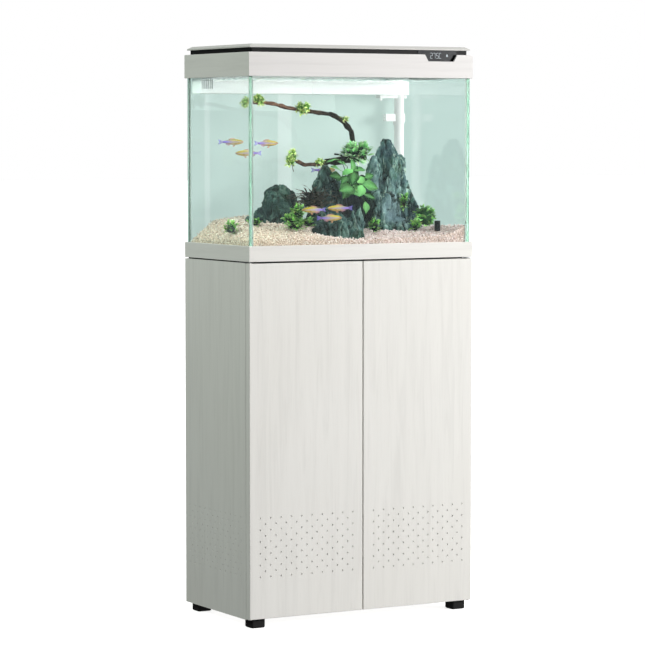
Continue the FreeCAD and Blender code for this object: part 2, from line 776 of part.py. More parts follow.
def hood_boards():
    """Thin boards round the hood, notched for the display and drilled for the power inlet."""
    front, rear, left, right = mitred_frame(HOOD_WALL, HOOD_BOTTOM, HOOD_HEIGHT)
    notch = prism(notch_points(FRONT - 1), Y_AXIS * (HOOD_WALL + 2))
    jack_hole = rod(JACK_RADIUS, HOOD_WALL, Vector(JACK_X, BACK - HOOD_WALL, jack_height()), Y_AXIS)
    return {
        "hood_front_panel": front.cut(notch),
        "hood_rear_panel": rear.cut(jack_hole),
        "hood_side_panels": group([left, right]),
    }


def jack_height():
    return (TANK_TOP + HOOD_TOP) / 2


def inner_frame():
    """The black moulding on the glass that backs the hood boards and shows as a collar above them."""
    side = SIDE - HOOD_WALL
    face = BACK - HOOD_WALL
    collar_side = SIDE - COLLAR_INSET
    collar_face = BACK - COLLAR_INSET
    skirt = block(-side, side, -face, face, TANK_TOP, HOOD_TOP)
    collar = block(-collar_side, collar_side, -collar_face, collar_face, HOOD_TOP, COLLAR_TOP)
    collar = rounded(collar, COLLAR_CORNER, runs_along_z)
    half = FRAME_INNER_SIDE
    window = block(-half, half, -FRAME_INNER_FACE, FRAME_INNER_FACE, TANK_TOP, COLLAR_TOP)
    frame = skirt.fuse(collar).cut(window)

    room_half = NOTCH_TOP_WIDTH / 2 + DISPLAY_ROOM
    room_low = HOOD_TOP - NOTCH_DEPTH - DISPLAY_ROOM
    room_left = NOTCH_MIDDLE - room_half
    room_right = NOTCH_MIDDLE + room_half
    display_room = block(room_left, room_right, -face, -collar_face, room_low, HOOD_TOP)
    tab_room = []
    room_front = TAB_FRONT - TAB_PLAY
    room_back = TAB_BACK + TAB_PLAY
    room_top = TANK_TOP + TAB_THICKNESS + TAB_PLAY
    for edge in LEFT_AND_RIGHT:
        tab_room.append(block(edge * half, edge * side, room_front, room_back, TANK_TOP, room_top))
    jack_room = rod(JACK_RADIUS, JACK_LENGTH, Vector(JACK_X, BACK - JACK_LENGTH, jack_height()), Y_AXIS)
    return {"hood_inner_frame": frame.cut([display_room, jack_room] + tab_room)}


def display():
    """A dark window on the collar's front, wide at the collar and tapering down behind the notch."""
    front_y = FRONT + COLLAR_INSET - DISPLAY_THICKNESS
    shift = X_AXIS * DISPLAY_SHIFT
    left = NOTCH_MIDDLE + DISPLAY_SHIFT - DISPLAY_STRIP_WIDTH / 2
    right = left + DISPLAY_STRIP_WIDTH
    strip_top = COLLAR_TOP - DISPLAY_TOP_GAP
    strip = [
        Vector(right, front_y, HOOD_TOP),
        Vector(right, front_y, strip_top),
        Vector(left, front_y, strip_top),
        Vector(left, front_y, HOOD_TOP),
    ]
    outline = [point + shift for point in notch_points(front_y)] + strip
    return {"display_window": prism(outline, Y_AXIS * DISPLAY_THICKNESS)}


def lid():
    """The lid, with wide bevels round its top."""
    side = SIDE - LID_INSET
    front = FRONT + LID_INSET
    bevel_z = LID_TOP - LID_BEVEL_HEIGHT
    plate = block(-side, side, front, LID_BACK, COLLAR_TOP, bevel_z)
    outlines = []
    for inset, z in ((0.0, bevel_z), (LID_BEVEL_WIDTH, LID_TOP)):
        corners = [
            Vector(-side + inset, front + inset, z),
            Vector(side - inset, front + inset, z),
            Vector(side - inset, LID_BACK - inset, z),
            Vector(-side + inset, LID_BACK - inset, z),
        ]
        outlines.append(Part.makePolygon(corners + [corners[0]]))
    bevel = Part.makeLoft(outlines, True, True)
    return {"top_lid": plate.fuse(bevel).removeSplitter()}


def lid_hinges():
    """Two small hinges behind the collar: a fixed knuckle between two that turn with the lid."""
    collar_face = BACK - COLLAR_INSET
    plate_back = collar_face + HINGE_PLATE
    brackets = []
    leaves = []
    pins = []
    for side in LEFT_AND_RIGHT:
        middle = side * LID_HINGE_X
        half = KNUCKLE_FIXED / 2
        pin_half = half + KNUCKLE_GAP + KNUCKLE_MOVING
        axis = Vector(middle - pin_half, LID_PIVOT_Y, LID_PIVOT_Z)
        pin = rod(LID_PIN_RADIUS, 2 * pin_half, axis, X_AXIS)
        pins.append(pin)

        left = middle - half
        right = middle + half
        knuckle_low = LID_PIVOT_Z - KNUCKLE_RADIUS
        knuckle = rod(KNUCKLE_RADIUS, KNUCKLE_FIXED, Vector(left, LID_PIVOT_Y, LID_PIVOT_Z), X_AXIS)
        plate = block(left, right, collar_face, plate_back, HOOD_TOP, COLLAR_TOP - 1)
        web = block(left, right, collar_face, LID_PIVOT_Y, knuckle_low, LID_PIVOT_Z)
        brackets.append(plate.fuse([web, knuckle]).cut(pin))

        for end in LEFT_AND_RIGHT:
            near = middle + end * (half + KNUCKLE_GAP)
            far = near + end * KNUCKLE_MOVING
            start = Vector(min(near, far), LID_PIVOT_Y, LID_PIVOT_Z)
            barrel = rod(KNUCKLE_RADIUS, KNUCKLE_MOVING, start, X_AXIS)
            leaf_front = LID_PIVOT_Y - LEAF_FRONT
            riser = block(near, far, leaf_front, LID_PIVOT_Y + LEAF_BACK, LID_PIVOT_Z, COLLAR_TOP)
            bore = rod(LID_PIN_RADIUS + PIN_PLAY, KNUCKLE_MOVING, start, X_AXIS)
            leaves.append(barrel.fuse(riser).cut(bore))
    return {
        "lid_hinge_brackets": group(brackets),
        "lid_hinge_leaves": group(leaves),
        "lid_hinge_pins": group(pins),
    }


def lamp():
    """A slim aluminium lamp along the hood's front, with its strip of diodes behind a diffuser."""
    back = -FRAME_INNER_FACE
    front = back + LAMP_DEPTH
    top = LAMP_BOTTOM + LAMP_HEIGHT
    inner_half = LAMP_HALF_LENGTH - LAMP_WALL
    inner_back = back + LAMP_WALL
    inner_front = front - LAMP_WALL
    inner_top = top - LAMP_WALL
    diffuser_top = LAMP_BOTTOM + LAMP_DIFFUSER
    housing = block(-LAMP_HALF_LENGTH, LAMP_HALF_LENGTH, back, front, LAMP_BOTTOM, top)
    channel = block(-inner_half, inner_half, inner_back, inner_front, LAMP_BOTTOM, inner_top)
    diffuser = block(-inner_half, inner_half, inner_back, inner_front, LAMP_BOTTOM, diffuser_top)
    strip_half = inner_half - LAMP_STRIP_INSET
    middle = (back + front) / 2
    strip_back = middle - LAMP_STRIP_WIDTH / 2
    strip_front = middle + LAMP_STRIP_WIDTH / 2
    strip_low = inner_top - LAMP_STRIP_THICKNESS
    board = block(-strip_half, strip_half, strip_back, strip_front, strip_low, inner_top)
    return {
        "lamp_housing": housing.cut(channel),
        "lamp_diffuser": diffuser,
        "lamp_strip": board,
    }


def power_inlet():
    start = Vector(JACK_X, BACK - JACK_LENGTH, jack_height())
    body = rod(JACK_RADIUS, JACK_LENGTH, start, Y_AXIS)
    socket = rod(JACK_BORE, JACK_BORE_DEPTH, start + Y_AXIS * (JACK_LENGTH - JACK_BORE_DEPTH), Y_AXIS)
    return {"power_inlet": body.cut(socket)}


# ---------------------------------------------------------------- filter


def filter_trough():
    """An open trough that hangs by two tabs from the side panes, with a comb for the water at its left."""
    outer = block(-TROUGH_SIDE, TROUGH_SIDE, TROUGH_FRONT, TROUGH_BACK, TROUGH_BOTTOM, TANK_TOP)
    inner = block(
        -TROUGH_SIDE + TROUGH_WALL,
        TROUGH_SIDE - TROUGH_WALL,
        TROUGH_FRONT + TROUGH_WALL,
        TROUGH_BACK - TROUGH_WALL,
        TROUGH_BOTTOM + TROUGH_WALL,
        TANK_TOP,
    )
    trough = rounded(
        outer,
        TROUGH_EDGE_RADIUS,
        lambda edge: lies_at(edge, "y", TROUGH_FRONT) and not lies_at(edge, "z", TANK_TOP),
    )
    trough = trough.cut(inner)
    for side in LEFT_AND_RIGHT:
        tab_x = side * (TANK_SIDE - TAB_FROM_EDGE)
        wall_x = side * (TROUGH_SIDE - TROUGH_WALL)
        tab = block(wall_x, tab_x, TAB_FRONT, TAB_BACK, TANK_TOP, TANK_TOP + TAB_THICKNESS)
        trough = trough.fuse(tab)
    riser_mouth = Vector(RISER_X, RISER_Y, TROUGH_BOTTOM)
    cuts = [rod(RISER_RADIUS + RISER_HOLE_PLAY, TROUGH_WALL, riser_mouth, Z_AXIS)]
    wall_back = TROUGH_FRONT + TROUGH_WALL
    slot_low = TROUGH_BOTTOM + COMB_SLOT_START
    for slot in range(COMB_SLOTS):
        x = COMB_START + slot * COMB_PITCH
        slot_end = x + COMB_SLOT_WIDTH
        cuts.append(block(x, slot_end, TROUGH_FRONT, wall_back, slot_low, slot_low + COMB_SLOT_HEIGHT))
    half_seam = TROUGH_SEAM_WIDTH / 2
    seam_back = TROUGH_FRONT + TROUGH_SEAM_DEPTH
    cuts.append(block(-half_seam, half_seam, TROUGH_FRONT, seam_back, TROUGH_BOTTOM, TANK_TOP))
    return {"filter_trough": trough.cut(cuts)}


def filter_media():
    """A foam sponge at the left of the trough, and two rows of ceramic rings at its right."""
    floor = TROUGH_BOTTOM + TROUGH_WALL
    front = TROUGH_FRONT + TROUGH_WALL + MEDIA_PLAY
    back = TROUGH_BACK - TROUGH_WALL - MEDIA_PLAY
    sponge = block(SPONGE_LEFT, SPONGE_RIGHT, front, back, floor, floor + SPONGE_HEIGHT)
    rings = []
    for column in range(RING_COLUMNS):
        for row in range(RING_ROWS):
            x = FIRST_RING_X + RING_PITCH * column
            y = front + MEDIA_PLAY + row * (RING_LENGTH + RING_ROW_GAP)
            start = Vector(x, y, floor + RING_RADIUS)
            rings.append(tube(RING_RADIUS, RING_BORE, RING_LENGTH, start, Y_AXIS))
    sponge = rounded(sponge, SPONGE_CORNER, runs_along_z)
    return {"filter_sponge": sponge, "ceramic_rings": group(rings)}


def riser():
    """The riser pipe from the pump, its side outlet and the outlet bar under the trough."""
    foot = Vector(RISER_X, RISER_Y, PUMP_TOP)
    pipe = tube(RISER_RADIUS, RISER_BORE, RISER_TOP - PUMP_TOP, foot, Z_AXIS)
    duct_front = RISER_Y - DUCT_HALF_WIDTH
    duct_back = RISER_Y + DUCT_HALF_WIDTH
    window = block(
        DUCT_MOUTH_X,
        RISER_X,
        duct_front + DUCT_WALL,
        duct_back - DUCT_WALL,
        DUCT_LOW + 2 * DUCT_WALL,
        DUCT_HIGH - 2 * DUCT_WALL,
    )
    pipe = pipe.cut(window)

    collar_foot = Vector(RISER_X, RISER_Y, DUCT_LOW)
    duct_height = DUCT_HIGH - DUCT_LOW
    collar = rod(RISER_RADIUS + DUCT_COLLAR, duct_height, collar_foot, Z_AXIS)
    duct = block(DUCT_MOUTH_X, RISER_X, duct_front, duct_back, DUCT_LOW + DUCT_WALL / 2, DUCT_HIGH)
    pipe_room = rod(RISER_RADIUS + PIN_PLAY, duct_height, collar_foot, Z_AXIS)
    outlet = collar.fuse(duct).removeSplitter().cut([pipe_room, window])

    bar_low = TROUGH_BOTTOM - BAR_HEIGHT
    bar_right = TROUGH_SIDE - BAR_FROM_TROUGH_END
    bar = block(BAR_LEFT, bar_right, BAR_FRONT, BAR_BACK, bar_low, TROUGH_BOTTOM)
    bar = rounded(bar, BAR_CORNER, runs_along_z)
    nozzle = rod(NOZZLE_RADIUS, NOZZLE_LENGTH, Vector(NOZZLE_X, RISER_Y, bar_low), Z_AXIS * -1)
    bar_room = rod(RISER_RADIUS + PIN_PLAY, BAR_HEIGHT, Vector(RISER_X, RISER_Y, bar_low), Z_AXIS)
    bar = bar.fuse(nozzle).cut(bar_room)
    return {"riser_pipe": pipe, "water_outlets": group([outlet, bar])}


def impeller():
    """The rotor: a magnet in the well, and blades in the volute, round a bore for the shaft."""
    hub = rod(HUB_RADIUS, VOLUTE_DEPTH, Vector(RISER_X, PUMP_FRONT + ROTOR_END_GAP, ROTOR_Z), Y_AXIS)
    magnet_start = Vector(RISER_X, PUMP_FRONT + VOLUTE_DEPTH + 1, ROTOR_Z)
    magnet = rod(ROTOR_RADIUS, MAGNET_LENGTH, magnet_start, Y_AXIS)
    blades = []
    for index in range(BLADES):
        blade = block(
            RISER_X - BLADE_THICKNESS / 2,
            RISER_X + BLADE_THICKNESS / 2,
            PUMP_FRONT + ROTOR_END_GAP + 1,
            PUMP_FRONT + VOLUTE_DEPTH - ROTOR_END_GAP,
            ROTOR_Z + HUB_RADIUS - 1,
            ROTOR_Z + BLADE_REACH,
        )
        blade.rotate(Vector(RISER_X, 0, ROTOR_Z), Y_AXIS, index * 360 / BLADES)
        blades.append(blade)
    bore_start = Vector(RISER_X, PUMP_FRONT, ROTOR_Z)
    bore = rod(SHAFT_RADIUS + PIN_PLAY, PUMP_BACK - PUMP_FRONT, bore_start, Y_AXIS)
    return hub.fuse([magnet] + blades).cut(bore)


def pump():
    """A small submersible pump: housing, slotted cover, rotor, its ceramic shaft and two suction cups."""
    left = RISER_X - PUMP_WIDTH / 2
    right = RISER_X + PUMP_WIDTH / 2
    cover_front = PUMP_FRONT - PUMP_COVER
    axis_start = Vector(RISER_X, PUMP_FRONT, ROTOR_Z)
    volute = rod(VOLUTE_RADIUS, VOLUTE_DEPTH, axis_start, Y_AXIS)
    rotor_well = rod(ROTOR_BORE, PUMP_BACK - PUMP_FRONT - PUMP_COVER, axis_start, Y_AXIS)
    shaft_start = cover_front + SHAFT_SEAT
    shaft_length = PUMP_BACK - 3 * SHAFT_SEAT - shaft_start
    shaft = rod(SHAFT_RADIUS, shaft_length, Vector(RISER_X, shaft_start, ROTOR_Z), Y_AXIS)
    outlet = rod(PUMP_OUTLET_RADIUS, PUMP_HEIGHT, Vector(RISER_X, RISER_Y, ROTOR_Z), Z_AXIS)
    spigot_radius = RISER_BORE - RISER_HOLE_PLAY
    spigot = rod(spigot_radius, SPIGOT_LENGTH, Vector(RISER_X, RISER_Y, PUMP_TOP), Z_AXIS)
    housing = block(left, right, PUMP_FRONT, PUMP_BACK, PUMP_BOTTOM, PUMP_TOP)
    housing = rounded(
        housing,
        PUMP_CORNER,
        lambda edge: runs_along_z(edge) and lies_at(edge, "y", PUMP_BACK),
    )
    housing = housing.fuse(spigot).cut([volute, rotor_well, outlet, shaft])

    cover = block(left, right, cover_front, PUMP_FRONT, PUMP_BOTTOM, PUMP_TOP)
    cover = rounded(cover, COVER_EDGE_RADIUS, lambda edge: lies_at(edge, "y", cover_front))
    slots = []
    slot_low = ROTOR_Z - COVER_SLOT_HEIGHT / 2
    slot_high = ROTOR_Z + COVER_SLOT_HEIGHT / 2
    for step in (-3, -2, -1, 1, 2, 3):
        slot_left = RISER_X + step * COVER_SLOT_PITCH - COVER_SLOT_WIDTH / 2
        slot_right = slot_left + COVER_SLOT_WIDTH
        slots.append(block(slot_left, slot_right, cover_front, PUMP_FRONT, slot_low, slot_high))
    cover = cover.cut(slots + [shaft])

    cups = []
    for z in (ROTOR_Z - CUP_FROM_AXIS, ROTOR_Z + CUP_FROM_AXIS):
        seat = Vector(RISER_X, PUMP_BACK, z)
        cups.append(Part.makeCone(CUP_NECK_RADIUS, CUP_RADIUS, WATER_FACE - PUMP_BACK, seat, Y_AXIS))
    return {
        "pump_housing": housing,
        "pump_cover": cover,
        "pump_impeller": impeller(),
        "pump_shaft": shaft,
        "suction_cups": group(cups),
    }


# ---------------------------------------------------------------- what the tank holds


def gravel():
    """The banked bed: a faceted top over a flat bottom."""
    floor = TANK_BOTTOM + BOTTOM_GLASS
    rows = []
    for y, heights in GRAVEL_ROWS.items():
        rows.append([Vector(x, y, z) for x, z in zip(GRAVEL_X, heights)])
    faces = []
    for near, far in zip(rows, rows[1:]):
        for i in range(len(GRAVEL_X) - 1):
            faces.append(flat_face([near[i], near[i + 1], far[i + 1]]))
            faces.append(flat_face([near[i], far[i + 1], far[i]]))
    left = [row[0] for row in rows]
    right = [row[-1] for row in rows]
    for side in (rows[0], rows[-1], left, right):
        ends = [Vector(side[-1].x, side[-1].y, floor), Vector(side[0].x, side[0].y, floor)]
        faces.append(flat_face(side + ends))
    corners = [rows[0][0], rows[0][-1], rows[-1][-1], rows[-1][0]]
    faces.append(flat_face([Vector(corner.x, corner.y, floor) for corner in corners]))
    return closed_solid(faces)


def rock(levels, phase):
    rings = []
    for index, (z, x, y, half_x, half_y) in enumerate(levels):
        wobble = phase + index * 0.8
        rings.append(ellipse_ring(Vector(x, y, z), half_x, half_y, ROCK_SIDES, ROCK_ROUGHNESS, wobble))
    return skin_of_rings(rings)


def wood_run(points):
    """A faceted branch through the points of one run."""
    rings = []
    for index, (x, y, z, radius) in enumerate(points):
        before = points[max(index - 1, 0)]
        after = points[min(index + 1, len(points) - 1)]
        along = Vector(after[0] - before[0], after[1] - before[1], after[2] - before[2]).normalize()
        upward = along.cross(Y_AXIS).normalize()
        across = upward.cross(along)
        ring = []
        for i in range(WOOD_SIDES):
            angle = 2 * math.pi * i / WOOD_SIDES
            reach = upward * math.cos(angle) + across * math.sin(angle)
            ring.append(Vector(x, y, z) + reach * radius)
        rings.append(ring)
    return skin_of_rings(rings)


def plant_mass(x, y, z, half_x, half_y, half_z):
    rings = []
    for tilt in (-75, -40, 0, 40, 75):
        angle = math.radians(tilt)
        middle = Vector(x, y, z + half_z * math.sin(angle) / math.sin(math.radians(75)))
        rings.append(ellipse_ring(middle, half_x * math.cos(angle), half_y * math.cos(angle), PLANT_SIDES))
    return skin_of_rings(rings)


def fish(x, y, z, heading):
    """A plain fish, nose first; its last section is the tail fin."""
    rings = []
    for share, half_height, half_width in FISH_SECTIONS:
        section_x = x + heading * FISH_LENGTH * (0.5 - share)
        ring = []
        for i in range(FISH_SIDES):
            angle = 2 * math.pi * i / FISH_SIDES
            section_y = y + half_width * math.cos(angle)
            ring.append(Vector(section_x, section_y, z + half_height * math.sin(angle)))
        rings.append(ring)
    return skin_of_rings(rings)


def aquascape():
    """The layout, with each piece cut back to the ones that it stands in or grows on."""
    rocks = [rock(levels, index) for index, levels in enumerate(ROCKS.values())]
    runs = [wood_run(points) for points in DRIFTWOOD.values()]
    driftwood = without(runs[0].fuse(runs[1:]), rocks)
    corner_seams = seams()
    swimmers = [fish(*place) for place in FISH]
    probe = rod(PROBE_RADIUS, PROBE_LENGTH, Vector(PROBE_X, PROBE_Y, PROBE_BOTTOM), Z_AXIS)
    probe_top = PROBE_BOTTOM + PROBE_LENGTH
    probe = rounded(probe, PROBE_CAP_RADIUS, lambda edge: lies_at(edge, "z", probe_top))
    bed = without(gravel(), rocks + corner_seams + [probe])

    plants = []
    for sizes in PLANTS.values():
        plants.append(without(plant_mass(*sizes), [bed, driftwood, probe] + rocks + plants))
    return {
        "gravel_bed": bed,
        "rocks": group(rocks),
        "driftwood": driftwood,
        "water_plants": group(plants),
        "fish_school": group(swimmers),
        "temperature_probe": probe,
        "silicone_seams": group(corner_seams),
    }


# ---------------------------------------------------------------- export


def main():
    sections = (
        carcass,
        carcass_fittings,
        feet,
        doors,
        latches,
        base,
        glass_panes,
        hood_boards,
        inner_frame,
        display,
        lid,
        lid_hinges,
        lamp,
        power_inlet,
        filter_trough,
        filter_media,
        riser,
        pump,
        aquascape,
    )
    os.makedirs("parts", exist_ok=True)
    for section in sections:
        for name, shape in section().items():
            shape.exportStep(f"parts/{name}.step")


main()
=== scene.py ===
import math
import random

import bmesh
import bpy
import numpy as np
from mathutils import Euler, Matrix, Vector, noise

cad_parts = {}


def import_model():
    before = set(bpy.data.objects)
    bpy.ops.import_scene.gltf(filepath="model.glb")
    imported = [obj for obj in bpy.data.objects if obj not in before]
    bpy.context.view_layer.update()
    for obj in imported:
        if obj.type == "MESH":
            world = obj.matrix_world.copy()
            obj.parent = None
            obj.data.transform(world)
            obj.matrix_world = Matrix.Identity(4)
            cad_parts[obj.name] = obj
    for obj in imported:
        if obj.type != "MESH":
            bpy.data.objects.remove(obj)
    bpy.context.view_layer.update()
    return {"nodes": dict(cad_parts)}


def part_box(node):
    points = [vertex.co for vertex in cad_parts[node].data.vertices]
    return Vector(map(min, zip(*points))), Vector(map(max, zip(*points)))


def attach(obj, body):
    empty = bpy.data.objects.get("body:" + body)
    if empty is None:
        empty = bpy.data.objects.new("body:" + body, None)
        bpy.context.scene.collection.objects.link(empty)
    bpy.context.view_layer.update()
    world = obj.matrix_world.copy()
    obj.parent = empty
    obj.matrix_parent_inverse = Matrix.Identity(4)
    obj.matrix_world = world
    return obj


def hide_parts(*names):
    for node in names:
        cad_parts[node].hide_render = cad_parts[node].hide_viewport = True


# The looks of a planted aquarium on its cabinet. Lengths are in metres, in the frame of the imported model:
# +X is to the right for a person who faces the doors, the doors face -Y, and +Z is up.

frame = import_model()

# Camera
CAMERA_PLACE = (-3.355, -5.9118, 1.1319)
CAMERA_YAW = 29.452
CAMERA_PITCH = 3.731
CAMERA_LENS = 159.6

# Studio: radiance of the world on its two sides, and what is seen through glass
WORLD_SHADE_SIDE = 0.15
WORLD_BRIGHT_SIDE = 0.50
WORLD_IN_GLOSS = 0.10
TINT_BEHIND_GLASS = (0.62, 0.76, 0.73, 1.0)
TOP_SUN = 0.9
TOP_SUN_ANGLE = 40.0
TOP_SUN_SIDE = (0.05, 0.05, 1.0)
# Area lights: name, place, aim, width, height, watts and colour
AREA_LIGHTS = (
    ("key_light", (3.3, -3.3, 1.85), (0.0, 0.0, 0.7), 1.6, 1.6, 200.0, (1.0, 0.99, 0.97)),
    ("left_light", (-2.6, 0.2, 2.5), (0.0, 0.0, 0.7), 1.2, 1.2, 38.0, (0.88, 1.0, 0.90)),
    ("tank_light", (0.0, -0.142, 1.225), (0.0, 0.158, 1.262), 0.54, 0.06, 0.20, (1.0, 1.0, 1.0)),
)
LAMP_GLOW = 16.0
# The film's emission is a painted glow: the film is no lamp, and the glow stands in for light coming through
# it from behind
FILM_PAINTED_GLOW = 0.71
# The pipe's emission is a painted glow: the plastic is no lamp
PIPE_PAINTED_GLOW = 0.12
# How much less of the light from the front than of its own the film gives back: its colour is darkened so
# that its painted glow sets its brightness and the shadows on it stay weak
FILM_SHADE = 0.62
# Painted reflections: pale upright bands on the film, middle x and half width
FILM_REFLECTION_BANDS = ((-0.035, 0.021), (-0.240, 0.009))
FILM_REFLECTION_EDGE = 0.004
FLOOR_GLOW = 0.75
FLOOR_REACH = 60.0

# Glass and water. Surfaces in water shine less than in air
UNDER_WATER = 0.08
ARRIS = 0.0006
WATER_LEVEL = 1.262
WATER_STEP = 0.004
RIPPLE = 0.0016
MENISCUS = 0.0016
MENISCUS_REACH = 0.002
WALL_GAP = 0.0003

# Gravel, rocks and wood
GRAVEL_INSET = 0.0022
GRAVEL_VOXEL = 0.004
GRAVEL_ROUGH = 0.0011
# Height of the gravel's foot that the band round the tank hides
GRAVEL_HIDDEN = 0.024
TOP_GRAINS = 9900
SIDE_GRAINS = 6000
GRAIN_RADIUS = (0.0014, 0.0029)
GRAIN_SCATTER = 0.0016
ROCK_VOXEL = 0.0022
ROCK_GAP = 0.001
ROCK_SWELL = 0.0060
ROCK_ROUGH = 0.0009
ROCK_CRACK = 0.0075
ROCK_GROWTH = 0.002
WOOD_VOXEL = 0.0013
WOOD_KNOTS = 0.0022
WOOD_SPLITS = 0.0011
WOOD_GROWTH = 0.0007

# Stones in mm: x, y, half width and half depth at the foot, top, lean of the top to the right, and bluntness
STONE_FOOT = 0.880
STONE_RINGS = 11
STONE_SIDES = 16
STONE_FACETS = 6
STONES = (
    (197, 62, 36, 34, 1124, -1, 9.0),
    (149, 50, 24, 26, 1084, 0, 5.0),
    (238, 70, 21, 24, 1088, 0, 4.5),
    (190, 34, 26, 22, 1056, 4, 4.0),
    (256, 68, 15, 18, 1027, 2, 4.0),
    (257, 52, 18, 20, 1000, 3, 3.0),
    (162, -4, 62, 20, 1002, 4, 1.15),
    (180, -22, 56, 24, 936, 0, 3.0),
    (246, 26, 28, 26, 942, 4, 2.0),
    (-104, 46, 50, 36, 1016, -3, 8.0),
    (-122, 24, 44, 34, 1002, -2, 4.0),
    (-160, 28, 48, 28, 962, -8, 2.4),
    (-188, 20, 42, 24, 938, -6, 2.0),
    (-74, 24, 24, 24, 964, 2, 2.0),
    (-130, 0, 38, 20, 950, 0, 2.0),
    (10, 48, 42, 34, 1062, 8, 2.2),
    (44, 34, 24, 24, 1036, 0, 2.2),
    (-28, 12, 42, 30, 958, 0, 2.4),
    (90, 60, 46, 26, 1010, 0, 3.0),
    (124, 54, 18, 22, 1004, 0, 6.0),
    (-22, -86, 58, 28, 950, 0, 3.0),
    (34, -80, 17, 16, 966, 4, 1.3),
    (8, -92, 19, 16, 957, 3, 1.4),
    (-38, -86, 24, 20, 950, -2, 1.8),
    (-72, -82, 26, 20, 933, -4, 2.0),
    (-8, -104, 46, 20, 916, 0, 2.4),
)

# Painted shade: where the stones in the hollow between the middle and right rocks are darkened nearly to
# black, middle and half sizes
PAINTED_SHADE_STONES = ((0.088, 0.036, 0.960), (0.058, 0.060, 0.075))
# Where they are pale and bluish
PALE_SLAB = ((0.180, -0.016, 0.950), (0.044, 0.034, 0.056))

# Plants: middle and half sizes, inside the masses of the frame's water_plants
MOSS = {
    "tip": ((-0.214, 0.010, 1.211), (0.012, 0.011, 0.011)),
    "second": ((-0.187, 0.010, 1.217), (0.014, 0.012, 0.012)),
    "middle": ((-0.069, 0.010, 1.197), (0.017, 0.015, 0.016)),
    "bend": ((0.047, 0.010, 1.170), (0.010, 0.009, 0.008)),
    "lower_tip": ((-0.105, 0.0, 1.080), (0.014, 0.013, 0.019)),
    "lower_inner": ((-0.026, 0.004, 1.069), (0.012, 0.010, 0.009)),
}
TUFTS = {
    "left": ((-0.276, -0.034, 0.918), (0.015, 0.014, 0.016)),
    "rock_foot": ((-0.212, -0.024, 0.930), (0.014, 0.010, 0.010)),
    "front_low": ((-0.143, -0.092, 0.924), (0.024, 0.016, 0.012)),
    "front_left": ((-0.156, -0.090, 0.938), (0.015, 0.013, 0.013)),
    "front_top": ((-0.134, -0.090, 0.954), (0.018, 0.014, 0.017)),
    "front_right": ((-0.110, -0.094, 0.929), (0.017, 0.012, 0.010)),
    "middle": ((0.087, -0.066, 0.919), (0.011, 0.010, 0.021)),
    "slab": ((0.199, -0.068, 0.916), (0.010, 0.009, 0.015)),
    "ledge": ((0.213, 0.010, 0.976), (0.010, 0.010, 0.019)),
}
# Broad leaves in mm: middle x, y and z, length, width, then in degrees the heading in the plane of the doors
# and how far the face turns up
BROAD_ROOT = (56, 4, 1010)
BROAD_LEAVES = (
    (29, -38, 1006, 44, 36, 185, 32),
    (63, -42, 1004, 28, 25, 250, 36),
    (92, -34, 1013, 37, 32, -12, 40),
    (84, -42, 990, 29, 18, -22, 42),
    (47, -34, 1034, 31, 27, 248, 40),
    (9, -24, 1055, 37, 25, 155, 42),
    (39, -22, 1047, 35, 20, 200, 36),
    (81, -4, 1053, 32, 21, 10, 44),
    (88, -22, 963, 27, 20, 268, 40),
    (28, -26, 1030, 26, 18, 220, 46),
    (72, -26, 1026, 26, 20, -60, 40),
    (58, -12, 1062, 30, 18, 100, 40),
    (34, -8, 1068, 30, 16, 150, 46),
    (4, -14, 1077, 50, 13, 178, 56),
    (100, -16, 1036, 24, 16, 20, 44),
    (52, 2, 1022, 40, 30, 200, 20),
    (74, 4, 1008, 38, 32, 300, 16),
    (20, 0, 1036, 34, 24, 170, 24),
    (66, 2, 1042, 36, 28, 60, 20),
    (90, 0, 1024, 34, 28, 350, 20),
    (44, -2, 1000, 34, 26, 240, 18),
)
BROAD_SCALE = 1.12
CROWN = ((0.078, 0.004, 1.094), (0.038, 0.026, 0.022))
RED_CURLS = ((-0.057, -0.022, 0.988), (0.023, 0.013, 0.035))
BUSH = ((0.233, -0.056, 0.939), (0.032, 0.020, 0.032))
# Leaves: number (for moss and tufts, per square metre of outline), length, and width as a share of the length
MOSS_LEAVES, MOSS_LENGTH, MOSS_WIDTH = 900000, 0.0072, 0.62
# Each moss tuft: number of lobes, and size of its middle lobe as a share of the tuft
MOSS_LOBES = 6
MOSS_HEART = 0.66
TUFT_LEAVES, TUFT_LENGTH, TUFT_WIDTH = 340000, 0.0115, 0.56
CROWN_LEAVES, CROWN_LENGTH, CROWN_WIDTH = 190, 0.0175, 0.66
CROWN_STEMS = 16
BUSH_LEAVES, BUSH_LENGTH, BUSH_WIDTH = 260, 0.0115, 0.8
CURL_LEAVES = 230
# Size of the dark blob that paints the shade in the heart of a clump, as a share of the clump
SHADE_CORE_SHARE = 0.66
STEM_SIDES = 5

# Twigs in mm: radius, and the points of each
TWIGS = (
    (2.2, ((48, 12, 1081), (40, 12, 1086), (31, 12, 1088), (21, 11, 1089))),
    (0.9, ((-101, 0, 1068), (-99, 0, 1058), (-97, -1, 1048))),
    (1.2, ((183, -62, 889), (189, -62, 893), (196, -61, 896))),
)

# Fish: middle, heading (1 swims to the right), and how far the tail is bent sideways
FISH = (
    ((-0.233, 0.046, 1.118), 1, 0.003),
    ((-0.146, 0.046, 1.115), 1, -0.002),
    ((-0.214, -0.002, 1.092), -1, 0.002),
    ((-0.107, -0.120, 0.961), -1, 0.003),
    ((-0.036, -0.114, 0.964), -1, -0.003),
    ((-0.074, -0.132, 0.942), 1, 0.002),
    ((0.048, 0.112, 1.050), 1, 0.003),
)
FISH_LENGTH = 0.067
